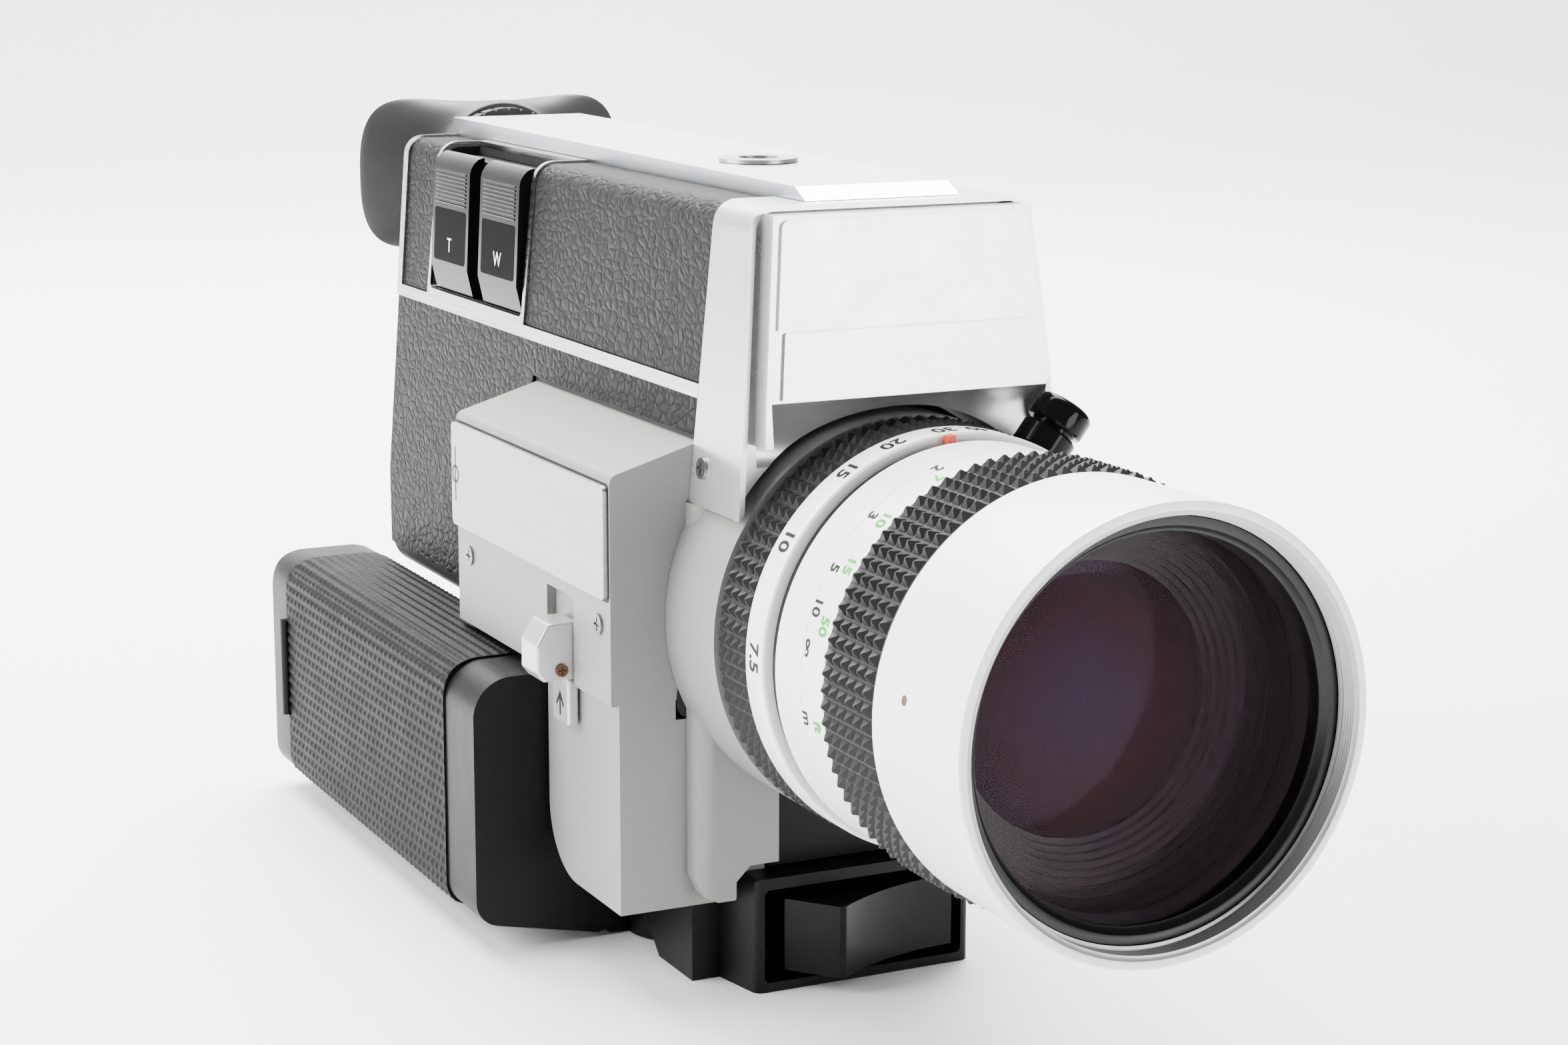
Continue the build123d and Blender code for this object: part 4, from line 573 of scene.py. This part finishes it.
def dial_text(name, text, degrees, y, size, r):
    """Printed figures wrapped on the barrel, read from behind the camera."""
    flat = flat_text(name, text, size, resolution=4, offset=size * 0.026)
    bm = bmesh.new()
    bm.from_mesh(flat)
    bmesh.ops.triangulate(bm, faces=bm.faces)
    bmesh.ops.subdivide_edges(bm, edges=[e for e in bm.edges if e.calc_length() > size * 0.25], cuts=1)
    out = []
    for v in bm.verts:
        a = degrees - math.degrees(v.co.x / r)
        out.append(polar(y - v.co.y, r + PRINT_LIFT, a))
    faces = [tuple(v.index for v in f.verts) for f in bm.faces]
    bm.free()
    bpy.data.meshes.remove(flat)
    return out, faces


def print_scale(name, figures, y, size, r, look, body):
    """One printed scale: figures pairs each text with its angle round the lens."""
    parts = [dial_text(name, text, degrees, y, size, r) for text, degrees in figures]
    return make(name, *join(*parts), look, body, (), "black_metal")


ZOOM_FIGURES = (("40", 8.3), ("30", -1.9), ("20", -17.4), ("15", -31.8), ("10", -56.5), ("7.5", -88.5))
METRE_FIGURES = (("2", -19.0), ("3", -41.0), ("5", -58.0), ("10", -69.0), ("∞", -80.0), ("m", -99.0))
FEET_FIGURES = (("7", -22.6), ("10", -41.0), ("15", -56.0), ("50", -73.0), ("ft", -100.0))
print_scale("zoom_figures", ZOOM_FIGURES, -42.7, 3.7, 31.1, "ink_black", "zoom")
print_scale("metre_figures", METRE_FIGURES, -56.9, 2.9, 30.22, "ink_black", "focus")
print_scale("feet_figures", FEET_FIGURES, -60.1, 2.9, 30.22, "ink_green", "focus")

index_profile = [(-47.35, 27.6), (-47.35, 29.35), (-47.2, 29.5), (-45.7, 29.5), (-45.55, 29.35),
                 (-45.55, 27.6)]
make("fixed_index_ring", *lathe_points(index_profile, 192), "black_metal", "body", ["index_ring"],
     "black_metal", 40)
mark_section = [(-46.95, 29.4), (-46.95, 30.95), (-45.6, 30.95), (-45.6, 29.4)]
mark = [polar(y, r, a) for a in (-4.9, -4.1, -3.3, -2.5) for y, r in mark_section]
mark_ends = [(0, 1, 2, 3), (12, 13, 14, 15)]
make("index_mark", mark, grid_faces(4, 4) + mark_ends, "ink_orange", "body", (), "black_metal")

# the small set screw in the front barrel
SCREW_POINTS = 24
SCREW_RINGS = ((0.72, 0.02), (0.62, 0.06), (0.42, 0.05), (0.3, 0.03), (ON_AXIS, 0.03))   # radius, height
screw = []
for ring_r, height in SCREW_RINGS:
    for i in range(SCREW_POINTS):
        t = 2 * math.pi * i / SCREW_POINTS
        y = -86.0 + ring_r * math.cos(t)
        a = -81.0 + math.degrees(ring_r * math.sin(t) / 30.8)
        barrel_r = 30.68 + (31.0 - 30.68) * (-77.8 - y) / 22.9
        screw.append(polar(y, barrel_r + height, a))
make("barrel_set_screw", screw, grid_faces(len(SCREW_RINGS), SCREW_POINTS), "screw_brown", "focus", (),
     "screw_brown")

# zoom lever: a turned knob on a radial axis
lever_profile = [(30.0, ON_AXIS), (30.0, 2.4), (31.4, 2.4), (31.4, 4.05), (31.7, 4.35), (34.8, 4.35),
                 (35.15, 4.0), (35.2, 3.45), (35.85, 3.45), (35.9, 4.2), (36.2, 4.5), (38.8, 4.5),
                 (39.4, 4.3), (39.85, 3.7), (39.95, 3.3), (39.7, 3.0), (39.7, ON_AXIS)]   # (height, radius)
LEVER_ANGLE = math.radians(37)
LEVER_SIDES = 64
lever_axis = Vector((math.sin(LEVER_ANGLE), 0, math.cos(LEVER_ANGLE)))
side_a = Vector((0, 1, 0))
side_b = lever_axis.cross(side_a)
lever = []
for i in range(LEVER_SIDES):
    t = 2 * math.pi * i / LEVER_SIDES
    around = side_a * math.cos(t) + side_b * math.sin(t)
    lever += [Vector((0, -35.5, LENS_Z)) + lever_axis * h + around * r for h, r in lever_profile]
n = len(lever_profile)
lever_faces = []
for i in range(LEVER_SIDES):
    j = (i + 1) % LEVER_SIDES
    lever_faces += [(i * n + k, i * n + k + 1, j * n + k + 1, j * n + k) for k in range(n - 1)]
make("zoom_lever_knob", lever, lever_faces, "gloss_black", "zoom", ["zoom_lever"], "gloss_black", 35)


# ------------------------------------------------------------------ folding grip
GRIP = [(-51.4, 4.6), (-25.5, -0.8), (-30.0, 45.6), (-51.4, 45.6)]
GRIP_R = [5.0, 4.0, 6.5, 7.0]


def grip_outline(inset, step):
    """The grip's section as evenly spaced (point, outward normal, distance walked), and its length."""
    pts = [Vector(p) for p in rounded(GRIP, GRIP_R, 10)]
    ring_pts = pts + [pts[0]]
    length = sum((ring_pts[i + 1] - ring_pts[i]).length for i in range(len(pts)))
    count = max(8, int(round(length / step)))
    out = []
    seg, walked = 0, 0.0
    for i in range(count):
        target = length * i / count
        while walked + (ring_pts[seg + 1] - ring_pts[seg]).length < target:
            walked += (ring_pts[seg + 1] - ring_pts[seg]).length
            seg += 1
        d = ring_pts[seg + 1] - ring_pts[seg]
        p = ring_pts[seg] + d * ((target - walked) / d.length)
        normal = Vector((-d.y, d.x)).normalized()
        out.append((p, normal, target))
    centre = sum((p for p, _, _ in out), Vector((0, 0))) / count
    flip = -1 if sum((p - centre).dot(normal) for p, normal, _ in out) < 0 else 1
    return [(p - normal * flip * inset, normal * flip, s) for p, normal, s in out], length


def section_ring(outline, y, depth):
    """The grip's section at y, drawn in by depth."""
    points = [p - normal * depth for p, normal, _ in outline]
    return [(q.x, y, q.y) for q in points]


SKIN_FRONT, SKIN_REAR, SKIN_STEP = 30.55, 115.2, 0.36
BUMP_HEIGHT, BUMP_PITCH_ROUND, BUMP_PITCH_Y = 0.44, 1.9, 2.15
KNUCKLE_Y = 115.45


def grip_skin():
    """The moulded rubber: rows of staggered bumps, running into plain ribs over the top."""
    outline, length = grip_outline(0.0, 0.33)
    pitch_round = length / int(round(length / BUMP_PITCH_ROUND))
    ys = np.arange(SKIN_FRONT, SKIN_REAR + 0.001, SKIN_STEP)
    verts = []
    n = len(outline)
    for y in ys:
        edge = min(1.0, (y - SKIN_FRONT) / 0.9, (SKIN_REAR - y) / 0.9)
        for p, normal, s in outline:
            row = s / pitch_round
            phase = row - math.floor(row)
            groove = 0.5 - 0.5 * math.cos(2 * math.pi * phase)
            shift = 0.5 * (int(math.floor(row)) % 2)
            bump = 0.5 - 0.5 * math.cos(2 * math.pi * (y / BUMP_PITCH_Y + shift))
            top = min(1.0, max(0.0, (p.y - 38.0) / 3.5))
            height = groove ** 0.7 * (0.42 + 0.58 * max(bump, 0.55 * top))
            depth = BUMP_HEIGHT * (1 - height) * max(0.0, edge) + 0.02 + 0.25 * (1 - max(0.0, edge))
            if p.x < -50.5 and 15.6 < p.y < 34.4:               # room for the lid's knuckle
                depth = max(depth, math.sqrt(max(0.0, 1.0 - (y - KNUCKLE_Y) ** 2)))
            q = p - normal * depth
            verts.append((q.x, float(y), q.y))
    faces = grid_faces(len(ys), n)
    for y, first in ((SKIN_FRONT, 0), (SKIN_REAR, (len(ys) - 1) * n)):      # the skin's cut ends
        base = len(verts)
        verts += section_ring(outline, y, 0.95)
        faces += [(first + k, first + (k + 1) % n, base + (k + 1) % n, base + k) for k in range(n)]
    return verts, faces


make("grip_skin", *grip_skin(), "grip_rubber", "grip", ["grip_rubber"], "rubber_black", 50)


def grip_end(y_face, y_seam, round_mm, inset, wall=1.6, steps=6):
    """The lid: the grip's section closed by a rounded edge, and hollow behind its seam."""
    outline, _ = grip_outline(inset, 1.0)
    profile = [(y_seam, wall), (y_seam, 0.0), (y_face - round_mm, 0.0)]
    for t in range(1, steps + 1):
        a = math.pi / 2 * t / steps
        profile.append((y_face - round_mm * (1 - math.sin(a)), round_mm * (1 - math.cos(a))))
    verts = []
    n = len(outline)
    for y, depth in profile:
        verts += section_ring(outline, y, depth)
    faces = grid_faces(len(profile), n)
    faces.append(tuple(range((len(profile) - 1) * n, len(profile) * n)))
    base = len(verts)
    for y in (y_seam, y_face - 1.7):
        verts += section_ring(outline, y, wall)
    faces += [(k, (k + 1) % n, base + (k + 1) % n, base + k) for k in range(n)]
    faces += [(base + k, base + (k + 1) % n, base + n + (k + 1) % n, base + n + k) for k in range(n)]
    faces.append(tuple(range(base + n, base + 2 * n)))
    return verts, faces


KNUCKLE_R, KNUCKLE_X, KNUCKLE_POINTS = 0.88, -51.4, 24
knuckle = []
for t in range(KNUCKLE_POINTS):
    a = 2 * math.pi * t / KNUCKLE_POINTS
    knuckle.append((KNUCKLE_X + KNUCKLE_R * math.cos(a), KNUCKLE_Y + KNUCKLE_R * math.sin(a)))
knuckle = slab(knuckle, 17.9, lambda u, v, w: (u, v, 16.05 + w))
make("lid_cover", *join(grip_end(126.75, 115.65, 3.2, 0.42), knuckle), "black_plastic", "lid",
     ["battery_lid"], "black_plastic", 50)


# ------------------------------------------------------------------ eyecup
# Each row: y, half width, half height, squareness of the outline, and how far its waist is drawn in.
EYE_OUT = [(133.2, 13.3, 13.3, 2.0, 0.0), (135.0, 14.6, 13.8, 2.0, 0.0), (137.4, 20.4, 15.5, 2.3, 0.12),
           (140.2, 27.0, 20.9, 2.8, 0.37)]
EYE_IN = [(133.1, 12.15, 12.15, 2.0, 0.0), (135.0, 12.7, 12.3, 2.0, 0.0), (137.4, 18.3, 13.95, 2.3, 0.12),
          (140.3, 25.4, 19.2, 2.8, 0.36)]
EYE_POINTS = 128
CUP_MID_Y, CUP_Z = 136, 113.0


def eye_ring(y, table, grow=0.0):
    """One ring of the saddle-shaped cup: its size, squareness and waist read off a table by depth."""
    rows = np.array(table)
    depth = rows[:, 0] - CUP_MID_Y
    half_w, half_h, power, waist = (float(np.polyval(np.polyfit(depth, rows[:, k], 3), y - CUP_MID_Y))
                                    for k in range(1, 5))
    pts = []
    for i in range(EYE_POINTS):
        t = 2 * math.pi * i / EYE_POINTS
        c, s = math.cos(t), math.sin(t)
        across = math.copysign(abs(c) ** (2 / power), c)
        rise = (half_h + grow) * math.copysign(abs(s) ** (2 / power), s)
        pts.append(((half_w + grow) * across, y, CUP_Z + rise * (1 - waist * (1 - across ** 2))))
    return pts


eye_rows = [(133.25, EYE_OUT, -0.25), (133.5, EYE_OUT, -0.05)]
eye_rows += [(133.5 + 0.5 * k, EYE_OUT, 0.0) for k in range(1, 13)]
eye_rows += [(139.85, EYE_OUT, -0.04), (140.08, EYE_OUT, -0.22), (140.15, EYE_OUT, -0.5),
             (140.15, EYE_IN, 0.45), (140.06, EYE_IN, 0.18), (139.85, EYE_IN, 0.03)]
eye_rows += [(139.5 - 0.5 * k, EYE_IN, 0.0) for k in range(13)]
cup = [point for row in eye_rows for point in eye_ring(*row)]
cup_faces = grid_faces(len(eye_rows), EYE_POINTS, closed_rows=True)
collar = lathe_points([(133.25, 10.1), (133.25, 12.5), (134.55, 12.5), (134.55, 10.1)], 96, (0.0, EYEPIECE_Z))
make("rubber_eyecup", *join((cup, cup_faces), collar), "eyecup_rubber", "body", ["eyecup"],
     "rubber_black", 60)


# ------------------------------------------------------------------ zoom keys
def zoom_key(name, y_mid, letter, body, node):
    """A glossy rocker: a ribbed pad above, a flat dark window and a letter below."""
    outline = [(-24.75, 95.95), (-25.75, 100.5), (-25.2, 111.0), (-24.86, 117.4), (-24.6, 118.4),
               (-24.05, 119.25), (-23.3, 119.95), (-22.5, 120.25), (-22.0, 120.28), (-22.0, 118.1),
               (-21.62, 118.1), (-21.62, 95.95)]
    half = 9.2
    rib_count, rib_pitch, first_rib_z = 9, 0.69, 111.35
    letter_z = 104.1

    def face(z):
        """X of the key's sloping face at height z."""
        return -25.75 + (z - 100.5) * 0.0523

    pad = [slab(outline, 2 * half, lambda u, v, w: (u, y_mid - half + w, v))]
    for i in range(rib_count):
        z = first_rib_z + rib_pitch * i
        x = face(z) + 0.03
        rib = [(x + 0.2, z), (x - 0.14, z + 0.1), (x - 0.24, z + 0.26), (x - 0.14, z + 0.42),
               (x + 0.2, z + 0.5)]
        pad.append(slab(rib, 15.0, lambda u, v, w: (u, y_mid - 7.5 + w, v)))
    make(name, *join(*pad), "gloss_black", body, [node], "gloss_black", 30, bevel=0.12, segments=2)
    win = rounded([(-7.8, 101.2), (7.8, 101.2), (7.8, 110.6), (-7.8, 110.6)], 0.7, 3)
    window = slab(win, 0.05, lambda u, v, w: (face(v) - w, y_mid + u, v))
    make(name + "_window", *window, "window_black", body, (), "gloss_black", 30)
    flat = flat_text(name + "_letter", letter, 3.6)
    points = [(face(letter_z + v.co.y) - 0.07, y_mid - v.co.x, letter_z + v.co.y) for v in flat.vertices]
    faces = [tuple(p.vertices) for p in flat.polygons]
    bpy.data.meshes.remove(flat)
    make(name + "_letter", points, faces, "ink_white", body, (), "gloss_black", 30)


zoom_key("key_tele", 94.0, "T", "key_tele", "zoom_key_tele")
zoom_key("key_wide", 70.3, "W", "key_wide", "zoom_key_wide")

# ------------------------------------------------------------------ slide switch
knob_side = rounded([(-38.85, 47.45), (-44.7, 47.45), (-45.85, 48.9), (-45.85, 53.3), (-43.9, 56.55),
                     (-38.85, 56.55)], [0, 0.5, 0.8, 1.4, 1.2, 0], 4)
knob = slab(knob_side, 6.8, lambda u, v, w: (u, 2.55 + w, v))
tab_face = rounded([(2.6, 39.9), (9.1, 39.9), (9.1, 47.6), (2.6, 47.6)], [0.9, 0.9, 0, 0], 4)
tab = slab(tab_face, 1.8, lambda u, v, w: (-39.05 - w, u, v))
make("slide_knob", *join(knob, tab), "knob_silver", "slide_switch", ["slide_switch"], "knob_silver", 30,
     bevel=0.45, segments=3)
arrow_face = [(0.28, -1.9), (0.28, 0.6), (1.35, -0.6), (1.6, -0.2), (0.0, 2.0), (-1.6, -0.2), (-1.35, -0.6),
              (-0.28, 0.6), (-0.28, -1.9)]
arrow = slab(arrow_face, 0.02, lambda u, v, w: (-40.86 - w, 5.85 - u, 43.2 + v))
make("slide_arrow", *arrow, "ink_black", "slide_switch", (), "knob_silver", 30)

# film-plane mark on the label plate
PLATE_Y, PLATE_Z = 20.7, 71.4


def band(pairs):
    """A flat closed band from its inner and outer points in turn."""
    count = len(pairs) // 2
    faces = []
    for k in range(count):
        m = (k + 1) % count
        faces.append((2 * k, 2 * k + 1, 2 * m + 1, 2 * m))
    return pairs, faces


circle = []
for i in range(32):
    t = 2 * math.pi * i / 32
    circle += [(-40.79, 51.2 + r * math.cos(t), PLATE_Z + r * math.sin(t)) for r in (1.15, 1.5)]
bar = slab([(51.05, 66.8), (51.35, 66.8), (51.35, 76.0), (51.05, 76.0)], 0.01,
           lambda u, v, w: (-40.785 - w, u, v))
make("film_plane_mark", *join(band(circle), bar), "ink_black", "body", (), "plate_silver")


# a dark band painted round the label plate: painted shadow in the gap at its edge
SHADOW_WIDTH = 0.4
shadow_band = []
for y, z in rounded([(-11.6, 62.8), (53.0, 62.8), (53.0, 80.0), (-11.6, 80.0)], 1.0, 4):
    outer = (-40.07, y + math.copysign(SHADOW_WIDTH, y - PLATE_Y), z + math.copysign(SHADOW_WIDTH, z - PLATE_Z))
    shadow_band += [(-40.07, y, z), outer]
make("label_painted_shadow", *band(shadow_band), "ink_black", "body", (), "plate_silver")


# ------------------------------------------------------------------ stage, camera and light
def floor_look():
    """Pale paper, darkened to gray far in front of the object by painted shade."""
    k = Look("studio_floor")
    paper = k.ramp(k.noise(3.0, 2.0), [(0.3, (0.87, 0.87, 0.875)), (0.7, (0.89, 0.89, 0.895))])
    place = k.node("ShaderNodeSeparateXYZ")
    k.link(k.coord, place.inputs["Vector"])
    # painted shade: the paper goes gray towards the front
    painted_falloff = k.ramp(k.math("ADD", place.outputs["Y"], 1.2), [(0.35, (0, 0, 0)), (0.95, (1, 1, 1))])
    k.set(Base_Color=k.mix(painted_falloff, (0.42, 0.42, 0.42), paper), Roughness=0.55, Specular_IOR_Level=0.3)
    return k


# A sheet of paper that lies flat under the object and curves up behind it, as (y, z) in metres.
SWEEP = [(-2.5, 0.0), (1.3, 0.0), (1.6, 0.03), (1.85, 0.13), (2.05, 0.33), (2.15, 0.62), (2.2, 1.0),
         (2.2, 3.0)]
SWEEP_HALF_WIDTH = 4.0
n = len(SWEEP)
sweep_mesh = bpy.data.meshes.new("studio_sweep")
sweep_mesh.from_pydata([(x, y, z) for x in (-SWEEP_HALF_WIDTH, SWEEP_HALF_WIDTH) for y, z in SWEEP], [],
                       [(i, i + 1, n + i + 1, n + i) for i in range(n - 1)])
for p in sweep_mesh.polygons:
    p.use_smooth = True
sweep_mesh.materials.append(floor_look().mat)
studio_sweep = bpy.data.objects.new("studio_sweep", sweep_mesh)
bpy.context.scene.collection.objects.link(studio_sweep)

camera_data = bpy.data.cameras.new("camera")
camera = bpy.data.objects.new("camera", camera_data)
bpy.context.scene.collection.objects.link(camera)
forward = Vector((0.4319, 0.8796, -0.1995)).normalized()
right = Vector((0.8978, -0.4403, 0.0024))
right = (right - forward * right.dot(forward)).normalized()
up = right.cross(forward)
turn = Matrix((right, up, -forward)).transposed().to_4x4()
camera.matrix_world = Matrix.Translation((-0.2113, -0.4194, 0.1646)) @ turn
camera_data.lens = 70.29
camera_data.sensor_width = 36.0
camera_data.clip_start = 0.01
bpy.context.scene.camera = camera


def softbox(name, place, target, size, power):
    """A rectangular studio light, in metres and watts."""
    data = bpy.data.lights.new(name, "AREA")
    data.shape = "RECTANGLE"
    data.size, data.size_y = size
    data.energy = power
    lamp = bpy.data.objects.new(name, data)
    bpy.context.scene.collection.objects.link(lamp)
    lamp.location = place
    lamp.rotation_euler = (Vector(target) - Vector(place)).to_track_quat("-Z", "Y").to_euler()


softbox("top_softbox", (0.1, 0.5, 1.0), (0.05, 0.12, 0.0), (1.2, 1.0), 92.0)
softbox("front_softbox", (0.55, -1.2, 0.2), (0.0, -0.02, 0.11), (0.55, 0.4), 8.0)
softbox("left_softbox", (-1.0, 0.3, 0.6), (0.0, 0.04, 0.07), (0.9, 0.9), 41.0)
softbox("back_softbox", (0.9, 1.1, 1.4), (0.9, 2.1, 0.4), (2.4, 0.6), 100.0)
world = bpy.data.worlds.new("studio")
bpy.context.scene.world = world
world.use_nodes = True
sky = world.node_tree.nodes["Background"]
sky.inputs["Color"].default_value = (0.93, 0.935, 0.95, 1.0)
sky.inputs["Strength"].default_value = 0.16

bpy.context.view_layer.update()
